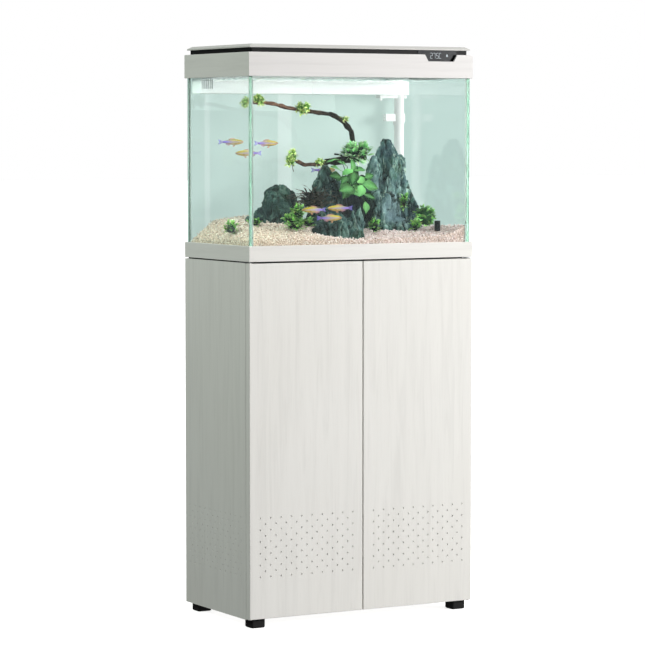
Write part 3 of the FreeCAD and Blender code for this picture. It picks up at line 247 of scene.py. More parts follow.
# Body: share of the length from the nose, half height and half width there
FISH_PROFILE = (
    (0.00, 0.0003, 0.0003),
    (0.03, 0.0019, 0.0015),
    (0.09, 0.0038, 0.0026),
    (0.18, 0.0055, 0.0034),
    (0.30, 0.0068, 0.0038),
    (0.42, 0.0069, 0.0037),
    (0.54, 0.0059, 0.0031),
    (0.66, 0.0043, 0.0022),
    (0.76, 0.0027, 0.0014),
    (0.82, 0.0024, 0.0009),
)
FISH_SIDES = 18
# Fins, as points on the body and points at the edge: share of the length, and height. The last value is how
# far the edge stands out sideways
SINGLE_FINS = (
    (
        ((0.32, 0.0070), (0.40, 0.0071), (0.50, 0.0064), (0.58, 0.0053)),
        ((0.38, 0.0092), (0.47, 0.0097), (0.56, 0.0083), (0.62, 0.0066)),
        0.0,
    ),
    (
        ((0.52, -0.0058), (0.60, -0.0048), (0.68, -0.0037)),
        ((0.57, -0.0086), (0.66, -0.0076), (0.72, -0.0054)),
        0.0,
    ),
    (
        ((0.80, 0.0022), (0.81, 0.0011), (0.81, 0.0), (0.81, -0.0011), (0.80, -0.0022)),
        ((0.98, 0.0060), (0.97, 0.0032), (0.95, 0.0), (0.97, -0.0032), (0.98, -0.0060)),
        0.0,
    ),
)
PAIRED_FINS = (
    (((0.22, -0.0010), (0.25, -0.0024)), ((0.32, -0.0022), (0.31, -0.0058)), 0.0062),
    (((0.34, -0.0070), (0.40, -0.0070)), ((0.40, -0.0116), (0.44, -0.0096)), 0.0022),
)
FIN_ROWS = 4
# Eyes: radius, how far each ball stands out, and the number of its finish
EYE_BALLS = ((0.0013, 0.0, 2), (0.0008, 0.00075, 3))
EYE_SHARE = 0.085
EYE_SIDE = 0.0019
EYE_HEIGHT = 0.0010

# Ventilation holes: columns and pitch across a door and a side, and how far inside them their mesh is
HOLE_RADIUS = 0.0021
HOLE_ROWS = 11
HOLE_ROW_STEP = 0.0136
LOWEST_HOLES = 0.1195
DOOR_MIDDLE = 0.15075
DOOR_HOLES = (10, 0.0272)
SIDE_HOLES = (11, 0.026)
SCREEN_DEPTH = 0.0017
SIDE_SCREEN_DEPTH = 0.0007

# Collar on the riser pipe
RISER_MIDDLE = (0.265, 0.120)
COLLAR_BORE = 0.0121
COLLAR_RADIUS = 0.0146
COLLAR_LOW = 1.1625
COLLAR_SLANT = 0.0035
COLLAR_HIGH = 1.1865
COLLAR_SIDES = 40
COLLAR_BEVEL = 0.0003

# Filter sponge
SPONGE_VOXEL = 0.003
SPONGE_ROUGH = 0.0006

# Levelling mat: unevenness of its edge, spacing of the points round it, and height and inset of each ring
MAT_UNEVEN = 0.0005
MAT_STEP = 0.004
MAT_RINGS = ((0.0, 0.0010), (0.0006, 0.0003), (0.0015, 0.0), (0.0024, 0.0003), (0.0030, 0.0010))

# Display: the bars of each character, on seven segments named a to g as usual
CHARACTERS = ("abged", "abc", "point", "afgcd", "afed")
DIGIT_LEFT = 0.1875
DIGIT_BOTTOM = 1.3146
DIGIT_HEIGHT = 0.0120
DIGIT_WIDTH = 0.0056
DIGIT_STEP = 0.0076
POINT_STEP = 0.0030
SEGMENT = 0.0008
DROP_MIDDLE = (0.2335, 1.3203)
DROP_RADIUS = 0.0024
DROP_SIDES = 20
LIT_PROUD = 0.00025


# ---------------------------------------------------------------- node materials


def rgb(red, green, blue):
    """A screen colour from 0 to 255 as the linear colour that shaders take."""
    linear = []
    for channel in (red, green, blue):
        share = channel / 255
        linear.append(share / 12.92 if share <= 0.04045 else ((share + 0.055) / 1.055) ** 2.4)
    return (*linear, 1.0)


class Nodes:
    """A node tree, with short calls for the nodes that the finishes share."""

    def __init__(self, tree):
        self.tree = tree

    def node(self, kind, inputs=None, **options):
        """A new node. Inputs may be values or the outputs of other nodes."""
        made = self.tree.nodes.new(kind)
        for option, value in options.items():
            setattr(made, option, value)
        for socket, value in (inputs or {}).items():
            self.put(made.inputs[socket], value)
        return made

    def put(self, socket, value):
        """Gives an input a value, or links an output to it."""
        if isinstance(value, bpy.types.NodeSocket):
            self.tree.links.new(value, socket)
        else:
            socket.default_value = value

    def place(self, stretch=(1.0, 1.0, 1.0)):
        """The piece's own coordinates, stretched along each axis."""
        coordinates = self.node("ShaderNodeTexCoord").outputs["Object"]
        return self.node("ShaderNodeMapping", {"Vector": coordinates, "Scale": stretch}).outputs["Vector"]

    def along(self, axis, vector=None):
        """One coordinate: the piece's own, or that of a vector."""
        split = self.node("ShaderNodeSeparateXYZ", {"Vector": self.place() if vector is None else vector})
        return split.outputs[axis]

    def noise(self, vector, scale, detail=4.0, roughness=0.55, distortion=0.0):
        """Cloudy pattern; scale is in features per metre."""
        labels = ("Vector", "Scale", "Detail", "Roughness", "Distortion")
        values = (vector, scale, detail, roughness, distortion)
        return self.node("ShaderNodeTexNoise", dict(zip(labels, values))).outputs["Fac"]

    def cells(self, vector, scale):
        """Distance to the nearest of a scatter of points."""
        return self.node("ShaderNodeTexVoronoi", {"Vector": vector, "Scale": scale}).outputs["Distance"]

    def waves(self, stretch, scale, direction):
        """Straight bands across a direction."""
        inputs = {"Vector": self.place(stretch), "Scale": scale}
        return self.node("ShaderNodeTexWave", inputs, bands_direction=direction).outputs["Fac"]

    def attribute(self, name):
        """A value the mesh carries at each point."""
        return self.node("ShaderNodeAttribute", attribute_name=name).outputs["Fac"]

    def range(self, value, low, high, to_low=0.0, to_high=1.0):
        """The value, moved from one range to another."""
        inputs = {"Value": value, "From Min": low, "From Max": high, "To Min": to_low, "To Max": to_high}
        return self.node("ShaderNodeMapRange", inputs).outputs["Result"]

    def ramp(self, share, stops):
        """A colour ramp; stops are (position, colour)."""
        made = self.node("ShaderNodeValToRGB", {"Fac": share})
        elements = made.color_ramp.elements
        while len(elements) < len(stops):
            elements.new(0.5)
        for element, (position, colour) in zip(elements, stops):
            element.position = position
            element.color = colour
        return made.outputs["Color"]

    def mix(self, share, first, second, blend_type="MIX"):
        """The first colour mixed with a share of the second."""
        inputs = {0: share, 6: first, 7: second}
        return self.node("ShaderNodeMix", inputs, data_type="RGBA", blend_type=blend_type).outputs[2]

    def blend(self, base, colour, pattern, low, high, most):
        """The base with a colour mixed in: none where the pattern is low, and most where it is high."""
        return self.mix(self.range(pattern, low, high, 0.0, most), base, colour)

    def multiply(self, share, first, second):
        """first, darkened by second as far as share says."""
        return self.mix(share, first, second, "MULTIPLY")

    def sum(self, first, second, share):
        """first plus second times share."""
        inputs = {0: second, 1: share, 2: first}
        return self.node("ShaderNodeMath", inputs, operation="MULTIPLY_ADD").outputs[0]


class Finish(Nodes):
    """A Principled material."""

    def __init__(self, name, **settings):
        self.material = bpy.data.materials.new(name)
        self.material.use_nodes = True
        super().__init__(self.material.node_tree)
        self.surface = self.tree.nodes["Principled BSDF"]
        for label, value in settings.items():
            self.surface.inputs[label.replace("_", " ")].default_value = value

    def colour(self, value):
        """The surface's own colour."""
        self.put(self.surface.inputs["Base Color"], value)

    def roughness(self, share, low, high):
        """Roughness between low and high, as a pattern says."""
        self.put(self.surface.inputs["Roughness"], self.range(share, 0.25, 0.75, low, high))

    def relief(self, height, depth):
        """Bump whose deepest point is depth metres."""
        bump = self.node("ShaderNodeBump", {"Height": height, "Distance": depth, "Strength": 1.0})
        self.put(self.surface.inputs["Normal"], bump.outputs["Normal"])

    def skin(self, pattern, rough, depth):
        """Roughness between two values, and relief, both from one pattern."""
        self.roughness(pattern, *rough)
        self.relief(pattern, depth)

    def glow(self, value):
        """The colour of the light it gives off."""
        self.put(self.surface.inputs["Emission Color"], value)


def two_tone(dark, light, low=0.3, high=0.7):
    """The stops of a ramp between two close colours."""
    return (low, dark), (high, light)


def lengthwise(axis, along, across):
    """A stretch for patterns that run along one axis."""
    return [along if name == axis else across for name in "xyz"]


def laminate(name, axis, white=(238, 237, 233)):
    """White wood-grain laminate with its grain along one axis; white is its lightest tone, set lower on the
    copies that paint shade on the hood and lid.
    """
    finish = Finish(name, Specular_IOR_Level=0.4)
    grain = finish.place(lengthwise(axis, 4.0, 70.0))
    figure = finish.noise(grain, 1.0, detail=6.0, distortion=0.8)
    pores = finish.noise(grain, 5.0, detail=3.0, roughness=0.7)
    cloud = finish.noise(finish.place(), 3.0, detail=2.0)
    light, middle, dark = ([tone - drop for tone in white] for drop in (0, 3, 9))
    base = finish.ramp(figure, ((0.3, rgb(*dark)), (0.5, rgb(*middle)), (0.72, rgb(*light))))
    tinted = finish.blend(base, rgb(208, 203, 194), pores, 0.56, 0.74, 0.16)
    finish.colour(finish.blend(tinted, rgb(226, 222, 212), cloud, 0.4, 0.7, 0.12))
    finish.roughness(pores, 0.36, 0.52)
    finish.relief(finish.sum(figure, pores, 0.6), 0.00012)
    return finish.material


def inner_laminate():
    """Plain white laminate with a fine orange-peel surface, for the boards' inner faces."""
    finish = Finish("inner_laminate", Specular_IOR_Level=0.4)
    peel = finish.noise(finish.place(), 900.0, detail=2.0)
    cloud = finish.noise(finish.place(), 5.0, detail=3.0)
    finish.colour(finish.ramp(cloud, two_tone(rgb(224, 222, 216), rgb(233, 231, 226))))
    finish.skin(peel, (0.42, 0.58), 0.00005)
    return finish.material


def moulded_plastic(name, dark, light, rough, grain=700.0, depth=0.00004, **settings):
    """Moulded plastic: a fine texture, and a slow drift between two close colours."""
    finish = Finish(name, **settings)
    texture = finish.noise(finish.place(), grain, detail=3.0)
    cloud = finish.noise(finish.place(), 14.0, detail=4.0)
    finish.colour(finish.ramp(cloud, two_tone(dark, light, 0.32, 0.68)))
    finish.skin(texture, rough, depth)
    return finish.material


def rubber():
    """Matt black rubber with dust in its pores."""
    finish = Finish("rubber", Specular_IOR_Level=0.35)
    pores = finish.noise(finish.place(), 420.0, detail=5.0, roughness=0.7)
    dust = finish.noise(finish.place(), 30.0, detail=5.0)
    dusty = ((0.35, rgb(17, 17, 18)), (0.62, rgb(28, 28, 29)), (0.8, rgb(46, 45, 43)))
    finish.colour(finish.ramp(dust, dusty))
    finish.skin(pores, (0.62, 0.88), 0.00015)
    return finish.material


def brushed_metal(name, dark, light, axis):
    """Plated or anodised metal, with fine lines along one axis."""
    finish = Finish(name, Metallic=1.0)
    lines = finish.noise(finish.place(lengthwise(axis, 30.0, 1500.0)), 1.0, detail=3.0)
    cloud = finish.noise(finish.place(), 25.0, detail=3.0)
    finish.colour(finish.ramp(cloud, two_tone(dark, light)))
    finish.skin(lines, (0.24, 0.42), 0.00002)
    return finish.material


def clear_glass(name, tint):
    """The faces of a pane: clear float glass with faint wipe marks."""
    finish = Finish(name, Base_Color=tint, Transmission_Weight=1.0, IOR=1.5)
    wipes = finish.noise(finish.place((3.0, 3.0, 9.0)), 2.0, detail=5.0, distortion=1.5)
    finish.roughness(wipes, 0.0, 0.012)
    return finish.material


def glass_edge():
    """The polished edge of a pane, which shows the glass's green."""
    finish = Finish("glass_edge", Transmission_Weight=0.74, IOR=1.5)
    streaks = finish.noise(finish.place((40.0, 40.0, 6.0)), 3.0, detail=4.0)
    greens = ((0.3, rgb(190, 222, 210)), (0.55, rgb(208, 232, 222)), (0.75, rgb(226, 242, 236)))
    finish.colour(finish.ramp(streaks, greens))
    finish.roughness(streaks, 0.03, 0.10)
    return finish.material


def water_skin():
    """Clear water, with a swirl too fine for the mesh."""
    tint = (0.9, 0.97, 0.98, 1.0)
    finish = Finish("water_skin", Base_Color=tint, Transmission_Weight=1.0, IOR=1.33, Roughness=0.02)
    swirl = finish.noise(finish.place((1.0, 2.0, 1.0)), 45.0, detail=3.0, distortion=0.6)
    finish.relief(swirl, 0.0006)
    return finish.material


def silicone():
    """Half-clear rubber, smoothed by hand."""
    finish = Finish("silicone", Transmission_Weight=0.5, IOR=1.41)
    blobs = finish.noise(finish.place((1.0, 1.0, 0.4)), 160.0, detail=3.0)
    finish.colour(finish.ramp(blobs, two_tone(rgb(196, 212, 206), rgb(222, 232, 228))))
    finish.skin(blobs, (0.25, 0.45), 0.0003)
    return finish.material


def aqua_film():
    """Pale aqua film behind the tank, with soft upright bands of painted reflection and a painted glow."""
    finish = Finish("aqua_film", Specular_IOR_Level=UNDER_WATER, Emission_Strength=FILM_PAINTED_GLOW)
    across = finish.along("X")
    drift = finish.noise(finish.place((5.0, 1.0, 1.5)), 1.0, detail=2.0)
    speck = finish.noise(finish.place(), 240.0, detail=3.0)
    base = finish.ramp(drift, two_tone(rgb(199, 215, 211), rgb(209, 224, 220), 0.34, 0.68))
    # Each band is a painted reflection of a light strip in the glass, drawn onto the film
    for middle, half in FILM_REFLECTION_BANDS:
        away = finish.node("ShaderNodeMath", {0: across, 1: middle}, operation="SUBTRACT").outputs[0]
        away = finish.node("ShaderNodeMath", {0: away}, operation="ABSOLUTE").outputs[0]
        base = finish.blend(base, rgb(232, 238, 237), away, half, half - FILM_REFLECTION_EDGE, 0.45)
    print_and_painted_light = finish.blend(base, rgb(180, 208, 202), speck, 0.5, 0.8, 0.08)
    # Painted glow, with the colour below it darkened so that shadows cast on the film stay weak
    finish.glow(print_and_painted_light)
    finish.colour(finish.mix(FILM_SHADE, print_and_painted_light, rgb(0, 0, 0)))
    finish.skin(speck, (0.4, 0.55), 0.00003)
    return finish.material


def smoked_window():
    """Dark window with a faint haze."""
    finish = Finish("smoked_window", Specular_IOR_Level=0.12, Coat_Weight=0.04, Coat_Roughness=0.06)
    haze = finish.noise(finish.place(), 120.0, detail=5.0)
    finish.colour(finish.ramp(haze, two_tone(rgb(48, 50, 53), rgb(57, 59, 62))))
    finish.roughness(haze, 0.16, 0.26)
    return finish.material


def lit_display():
    """The lit parts of the display, a little uneven as diodes behind a film are."""
    finish = Finish("lit_display", Roughness=0.5, Emission_Strength=0.12)
    uneven = finish.noise(finish.place(), 260.0, detail=2.0)
    white = finish.ramp(uneven, two_tone(rgb(160, 174, 182), rgb(204, 214, 220), 0.3, 0.6))
    finish.colour(white)
    finish.glow(white)
    return finish.material


def dust_mesh():
    """Fine pale mesh."""
    finish = Finish("dust_mesh", Specular_IOR_Level=0.3)
    threads = finish.waves((1.0, 1.0, 0.0), 420.0, "DIAGONAL")
    rows = finish.waves((1.0, 1.0, 1.0), 420.0, "Z")
    crossing = finish.sum(threads, rows, 0.5)
    finish.colour(finish.ramp(crossing, two_tone(rgb(210, 209, 206), rgb(238, 237, 234), 0.1, 0.9)))
    finish.roughness(threads, 0.5, 0.7)
    finish.relief(rows, 0.00008)
    return finish.material


def lamp_opal():
    """The lamp's lit cover, brightest over each diode."""
    finish = Finish("lamp_opal", Emission_Strength=LAMP_GLOW)
    dots = finish.cells(finish.place((1.0, 1.0, 0.0)), 60.0)
    white = finish.ramp(dots, two_tone(rgb(255, 255, 255), rgb(226, 236, 246), 0.0))
    finish.colour(white)
    finish.glow(white)
    finish.roughness(dots, 0.35, 0.5)
    return finish.material


def foam(name, dark, light, silt):
    """Foam, full of pores, with silt in some of them."""
    finish = Finish(name, Specular_IOR_Level=0.2)
    pores = finish.cells(finish.place(), 520.0)
    cloud = finish.noise(finish.place(), 40.0, detail=5.0)
    base = finish.ramp(pores, two_tone(dark, light, 0.15, 0.55))
    finish.colour(finish.blend(base, silt, cloud, 0.5, 0.75, 0.35))
    finish.roughness(cloud, 0.85, 0.98)
    finish.relief(pores, 0.0008)
    return finish.material


def fired_clay(name, dark, light):
    """Stained ceramic, full of fine pores."""
    finish = Finish(name, Specular_IOR_Level=0.3)
    pores = finish.cells(finish.place(), 700.0)
    stain = finish.noise(finish.place(), 60.0, detail=5.0)
    finish.colour(finish.ramp(stain, two_tone(dark, light)))
    finish.roughness(stain, 0.7, 0.92)
    finish.relief(pores, 0.0003)
    return finish.material


def side_tint(finish, colour):
    """The gravel is a little olive at the left of the tank and a little pink at the right."""
    side = finish.range(finish.along("X"), -0.29, 0.29)
    tint = finish.ramp(side, two_tone(rgb(255, 249, 234), rgb(248, 238, 240), 0.0, 0.6))
    return finish.multiply(1.0, colour, tint)


def gravel_grain():
    """Grains of many close colours, one for each grain."""
    finish = Finish("gravel_grain", Specular_IOR_Level=UNDER_WATER)
    kind = finish.attribute("grain_kind")
    stops = (
        (0.0, rgb(110, 94, 86)),
        (0.10, rgb(212, 200, 194)),
        (0.40, rgb(244, 236, 232)),
        (0.62, rgb(228, 204, 200)),
        (0.82, rgb(255, 255, 255)),
        (0.93, rgb(252, 248, 246)),
        (1.0, rgb(160, 148, 136)),
    )
    mottle = finish.noise(finish.place(), 700.0, detail=4.0)
    mottled = finish.blend(finish.ramp(kind, stops), rgb(120, 96, 78), mottle, 0.45, 0.8, 0.4)
    finish.colour(side_tint(finish, mottled))
    finish.skin(mottle, (0.4, 0.75), 0.0003)
    return finish.material


def gravel_bed():
    """What shows between the grains, with painted shade where its cells meet."""
    finish = Finish("gravel_bed_finish", Specular_IOR_Level=UNDER_WATER)
    grains = finish.cells(finish.place(), 330.0)
    kind = finish.noise(finish.place(), 260.0, detail=3.0)
    sands = ((0.3, rgb(180, 158, 144)), (0.5, rgb(220, 201, 190)), (0.68, rgb(240, 229, 220)))
    base = finish.ramp(kind, sands)
    # Painted shade: the borders between the cells are darkened as the gaps between grains
    shaded_gaps = finish.blend(base, rgb(104, 82, 66), grains, 0.35, 0.75, 0.65)
    finish.colour(side_tint(finish, shaded_gaps))
    finish.roughness(kind, 0.6, 0.85)
    finish.relief(grains, -0.0012)
    return finish.material


def slate():
    """Green-grey rock, darker at the left, with pale upright veins and green patches, and painted shade in
    its crevices and in the hollow between the middle and right rocks.
    """
    finish = Finish("slate_stone", Specular_IOR_Level=UNDER_WATER)
    crevice_shade = finish.attribute("crevice_shade")
    upright = finish.noise(finish.place((1.0, 1.0, 0.28)), 55.0, detail=7.0, roughness=0.65, distortion=0.5)
    veins = finish.noise(finish.place((1.0, 1.0, 0.16)), 85.0, detail=4.0, distortion=2.2)
    patches = finish.noise(finish.place(), 16.0, detail=4.0)
    fine = finish.noise(finish.place(), 420.0, detail=5.0, roughness=0.7)
    stops = (
        (0.34, rgb(30, 50, 50)),
        (0.47, rgb(72, 104, 99)),
        (0.58, rgb(122, 154, 148)),
        (0.70, rgb(184, 210, 200)),
    )
    base = finish.ramp(upright, stops)
    blued = finish.blend(base, rgb(48, 60, 80), patches, 0.52, 0.35, 0.6)
    greened = finish.blend(blued, rgb(62, 88, 46), patches, 0.50, 0.68, 0.55)
    veined = finish.blend(greened, rgb(176, 198, 182), veins, 0.60, 0.67, 0.85)
    # Darker towards the left
    darker_along_x = finish.multiply(finish.range(finish.along("X"), -0.06, 0.14, 1.0, 0.0), veined, rgb(146, 158, 152))
    slab = finish.blend(darker_along_x, rgb(124, 146, 156), finish.attribute("slab"), 0.0, 0.8, 0.6)
    # Painted shade: the stones in the hollow between the middle and right rocks are darkened
    shaded = finish.blend(slab, rgb(9, 12, 30), finish.attribute("painted_shade"), 0.0, 0.6, 0.94)
    # Painted shade: the crevices are darkened where the flutes and cracks cut deepest
    finish.colour(finish.blend(shaded, rgb(8, 13, 15), crevice_shade, 0.22, 0.62, 0.92))
    finish.roughness(fine, 0.5, 0.85)
    finish.relief(finish.sum(upright, fine, 0.35), 0.0016)
    return finish.material


def bark():
    """Weathered wood: reddish brown, darker towards its foot, with fibres and patches of a green film."""
    finish = Finish("weathered_bark", Specular_IOR_Level=UNDER_WATER)
    fibres = finish.noise(finish.place((0.25, 1.0, 1.0)), 300.0, detail=6.0, roughness=0.7, distortion=0.7)
    patches = finish.noise(finish.place(), 38.0, detail=5.0)
    base = finish.ramp(fibres, ((0.28, rgb(22, 13, 9)), (0.5, rgb(96, 62, 46)), (0.72, rgb(196, 154, 132))))
    # Darker towards the right
    darker_along_x = finish.blend(base, rgb(7, 5, 4), finish.along("X"), -0.18, 0.0, 0.94)
    finish.colour(finish.blend(darker_along_x, rgb(66, 70, 30), patches, 0.56, 0.78, 0.5))
    finish.skin(fibres, (0.6, 0.9), 0.0009)
    return finish.material


def leaf(name, dark, light, tip):
    """Leaves with a light midrib, whose colour differs from leaf to leaf and towards the tip."""
    finish = Finish(name, Specular_IOR_Level=UNDER_WATER, Subsurface_Weight=0.12, Subsurface_Scale=0.003)
    veins = finish.noise(finish.place(), 420.0, detail=3.0)
    spots = finish.noise(finish.place(), 130.0, detail=4.0)
    base = finish.mix(finish.range(finish.attribute("leaf_shade"), 0.25, 0.85), dark, light)
    tipped = finish.blend(base, tip, finish.attribute("leaf_tip"), 0.3, 1.0, 0.8)
    ribbed = finish.mix(finish.range(finish.attribute("leaf_side"), 0.0, 0.6, 0.45, 0.0), tipped, light)
    finish.colour(finish.blend(ribbed, dark, spots, 0.55, 0.8, 0.4))
    finish.roughness(spots, 0.32, 0.6)
    finish.relief(veins, 0.0002)
    return finish.material


def fish_skin():
    """Scales: yellow-orange front and back, pink belly, blue-violet towards the tail."""
    finish = Finish("fish_scales", Specular_IOR_Level=UNDER_WATER, Coat_Weight=0.08, Coat_Roughness=0.15)
    along = finish.attribute("fish_along")
    height = finish.attribute("fish_height")
    scales = finish.cells(finish.place(), 1300.0)
    stops = (
        (0.0, rgb(150, 112, 40)),
        (0.20, rgb(178, 162, 36)),
        (0.46, rgb(168, 156, 112)),
        (0.75, rgb(104, 92, 206)),
    )
    flank = finish.ramp(along, stops)
    stripe = finish.ramp(height, ((0.3, rgb(0, 0, 0)), (0.5, rgb(255, 255, 255)), (0.7, rgb(0, 0, 0))))
    flank = finish.mix(finish.sum(-0.15, stripe, 0.85), flank, rgb(146, 134, 206))
    belly = finish.blend(flank, rgb(190, 146, 100), height, 0.32, 0.05, 0.75)
    back = finish.blend(belly, rgb(172, 158, 22), height, 0.72, 1.0, 0.8)
    finish.colour(finish.blend(back, rgb(130, 76, 50), scales, 0.4, 0.8, 0.35))
    finish.skin(scales, (0.22, 0.4), 0.00015)
    return finish.material


def fish_fin():
    """Thin fins with rays."""
    finish = Finish("fish_fins", Specular_IOR_Level=UNDER_WATER, Alpha=0.62)
    along = finish.attribute("fish_along")
    rays = finish.noise(finish.place((0.3, 1.0, 1.0)), 900.0, detail=2.0)
    stops = ((0.2, rgb(220, 170, 70)), (0.6, rgb(190, 140, 150)), (0.95, rgb(104, 104, 196)))
    base = finish.ramp(along, stops)
    finish.colour(finish.blend(base, rgb(120, 70, 90), rays, 0.45, 0.65, 0.4))
    finish.skin(rays, (0.3, 0.5), 0.0001)
    return finish.material


def studio_floor():
    """Pale paper that is nearly as bright as the world behind it."""
    own_light = {"Emission_Color": rgb(255, 255, 255), "Emission_Strength": FLOOR_GLOW}
    finish = Finish("studio_floor", Specular_IOR_Level=0.2, **own_light)
    speck = finish.noise(finish.place(), 6.0, detail=5.0)
    finish.colour(finish.ramp(speck, two_tone(rgb(246, 246, 245), rgb(250, 250, 249))))
    finish.roughness(speck, 0.6, 0.75)
    return finish.material


# ---------------------------------------------------------------- mesh helpers


def add_piece(name, mesh, finishes, replaced=(), body="root"):
    """Links a mesh as a piece that rides on a body, in place of the CAD nodes named."""
    piece = bpy.data.objects.new(name, mesh)
    bpy.context.collection.objects.link(piece)
    for finish in finishes:
        mesh.materials.append(finish)
    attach(piece, body)
    if replaced:
        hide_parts(*replaced)
    return piece


def mesh_from(bm, name, smooth=True):
    """The finished mesh; the bmesh is freed."""
    mesh = bpy.data.meshes.new(name)
    bm.to_mesh(mesh)
    bm.free()
    if smooth:
        mesh.shade_smooth()
    else:
        mesh.shade_flat()
    return mesh


def join_rings(bm, rings, capped=True):
    """Faces between rings of equally many points, and over the two ends."""
    for near, far in zip(rings, rings[1:]):
        for i in range(len(near)):
            j = (i + 1) % len(near)
            bm.faces.new((near[i], near[j], far[j], far[i]))
    if capped:
        bm.faces.new(reversed(rings[0]))
        bm.faces.new(rings[-1])


def even(mesh, voxel):
    """The same shape again as an even mesh, ready to be worked in detail."""
    scratch = bpy.data.objects.new("scratch", mesh)
    bpy.context.collection.objects.link(scratch)
    modifier = scratch.modifiers.new("even", "REMESH")
    modifier.mode = "VOXEL"
    modifier.voxel_size = voxel
    modifier.use_smooth_shade = True
    depsgraph = bpy.context.evaluated_depsgraph_get()
    made = bpy.data.meshes.new_from_object(scratch.evaluated_get(depsgraph))
    bpy.data.objects.remove(scratch)
    return made


def remeshed(node, name, voxel):
    """An even mesh over the shape of one CAD node."""
    copy = frame["nodes"][node].data.copy()
    copy.materials.clear()
    made = even(copy, voxel)
    made.name = name
    return made


def push_out(mesh, height, low=None, high=None):
    """Moves each point along its normal by height(point), and keeps it between two corners."""
    points = [vertex.co.copy() for vertex in mesh.vertices]
    normals = [Vector(normal.vector) for normal in mesh.vertex_normals]
    places = []
    for point, normal in zip(points, normals):
        place = point + normal * height(point)
        if low is not None:
            place = Vector(min(max(value, least), most) for value, least, most in zip(place, low, high))
        places.append(place)
    mesh.vertices.foreach_set("co", [value for place in places for value in place])
    mesh.update()


def ridge(point):
    """Noise from 0 to 1 that is highest along thin winding lines."""
    return 1 - min(1.0, abs(noise.noise(point)) * 2.4)


def share_of(place, middle, half):
    """A place as seen from the middle of an ellipsoid, as shares of its half sizes."""
    return Vector((a - b) / c for a, b, c in zip(place, middle, half))


def set_attribute(mesh, name, values):
    """Stores one value for each point."""
    mesh.attributes.new(name, "FLOAT", "POINT").data.foreach_set("value", values)


# ---------------------------------------------------------------- tank


def glass_panes():
    """Each pane again, with ground edges, clear faces and green edges."""
    wide = clear_glass("clear_glass", (0.955, 0.985, 0.97, 1.0))
    narrow = clear_glass("clear_side_glass", (0.935, 0.98, 0.968, 1.0))
    edges = glass_edge()
    for node in ("front_glass", "back_glass", "left_glass", "right_glass", "bottom_glass"):
        faces = narrow if node in ("left_glass", "right_glass") else wide
        low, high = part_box(node)
        size = high - low
        thin = min(range(3), key=lambda axis: size[axis])
        bm = bmesh.new()
        bmesh.ops.create_cube(bm, size=1.0)
        bmesh.ops.scale(bm, vec=size, verts=bm.verts)
        bmesh.ops.translate(bm, vec=(low + high) / 2, verts=bm.verts)
        bmesh.ops.bevel(bm, geom=bm.edges[:], offset=ARRIS, segments=2, affect="EDGES", profile=0.6)
        for face in bm.faces:
            face.material_index = 0 if abs(face.normal[thin]) > 0.99 else 1
        mesh = mesh_from(bm, node, smooth=False)
        pane = add_piece(node.replace("glass", "pane"), mesh, (faces, edges), (node,))
        pane.visible_shadow = False


def water_surface():
    """The water's skin under the hood, rippled, and drawn up a little where it meets the glass."""
    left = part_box("left_glass")[1].x + WALL_GAP
    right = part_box("right_glass")[0].x - WALL_GAP
    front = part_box("front_glass")[1].y + WALL_GAP
    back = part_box("filter_trough")[0].y - WALL_GAP
    columns = round((right - left) / WATER_STEP)
    rows = round((back - front) / WATER_STEP)
    bm = bmesh.new()
    bmesh.ops.create_grid(bm, x_segments=columns, y_segments=rows, size=0.5)
    for vert in bm.verts:
        x = left + (vert.co.x + 0.5) * (right - left)
        y = front + (vert.co.y + 0.5) * (back - front)
        to_wall = min(x - left, right - x, y - front, back - y)
        wave = noise.fractal(Vector((x * 28, y * 46, 0.3)), 0.8, 2.1, 3)
        vert.co = Vector((x, y, WATER_LEVEL + RIPPLE * wave + MENISCUS * math.exp(-to_wall / MENISCUS_REACH)))
    surface = add_piece("water_surface", mesh_from(bm, "water_surface"), (water_skin(),))
    surface.visible_shadow = False


def gravel():
    """The bed, and a layer of loose grains over it and against the glass."""
    mesh = remeshed("gravel_bed", "gravel_base", GRAVEL_VOXEL)
    low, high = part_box("gravel_bed")
    inner_low = low + Vector((GRAVEL_INSET, GRAVEL_INSET, WALL_GAP))
    inner_high = high - Vector((GRAVEL_INSET, GRAVEL_INSET, 0))

    def height(point):
        return noise.fractal(point * 160, 0.7, 2.0, 3) * GRAVEL_ROUGH

    push_out(mesh, height, inner_low, inner_high)
    add_piece("gravel_base", mesh, (gravel_bed(),), ("gravel_bed",))
    rng = np.random.default_rng(5)
    grain = gravel_grain()
    upper = [face for face in mesh.polygons if face.normal.z > 0.5]
    shown = low.z + GRAVEL_HIDDEN
    outer = [face for face in mesh.polygons if face.center.z > shown and abs(face.normal.z) < 0.5]
    layers = (("gravel_grains", upper, TOP_GRAINS), ("gravel_side_grains", outer, SIDE_GRAINS))
    for name, faces, count in layers:
        grains = scatter_grains(rng, faces, count, low, high)
        grains.name = name
        add_piece(name, grains, (grain,))


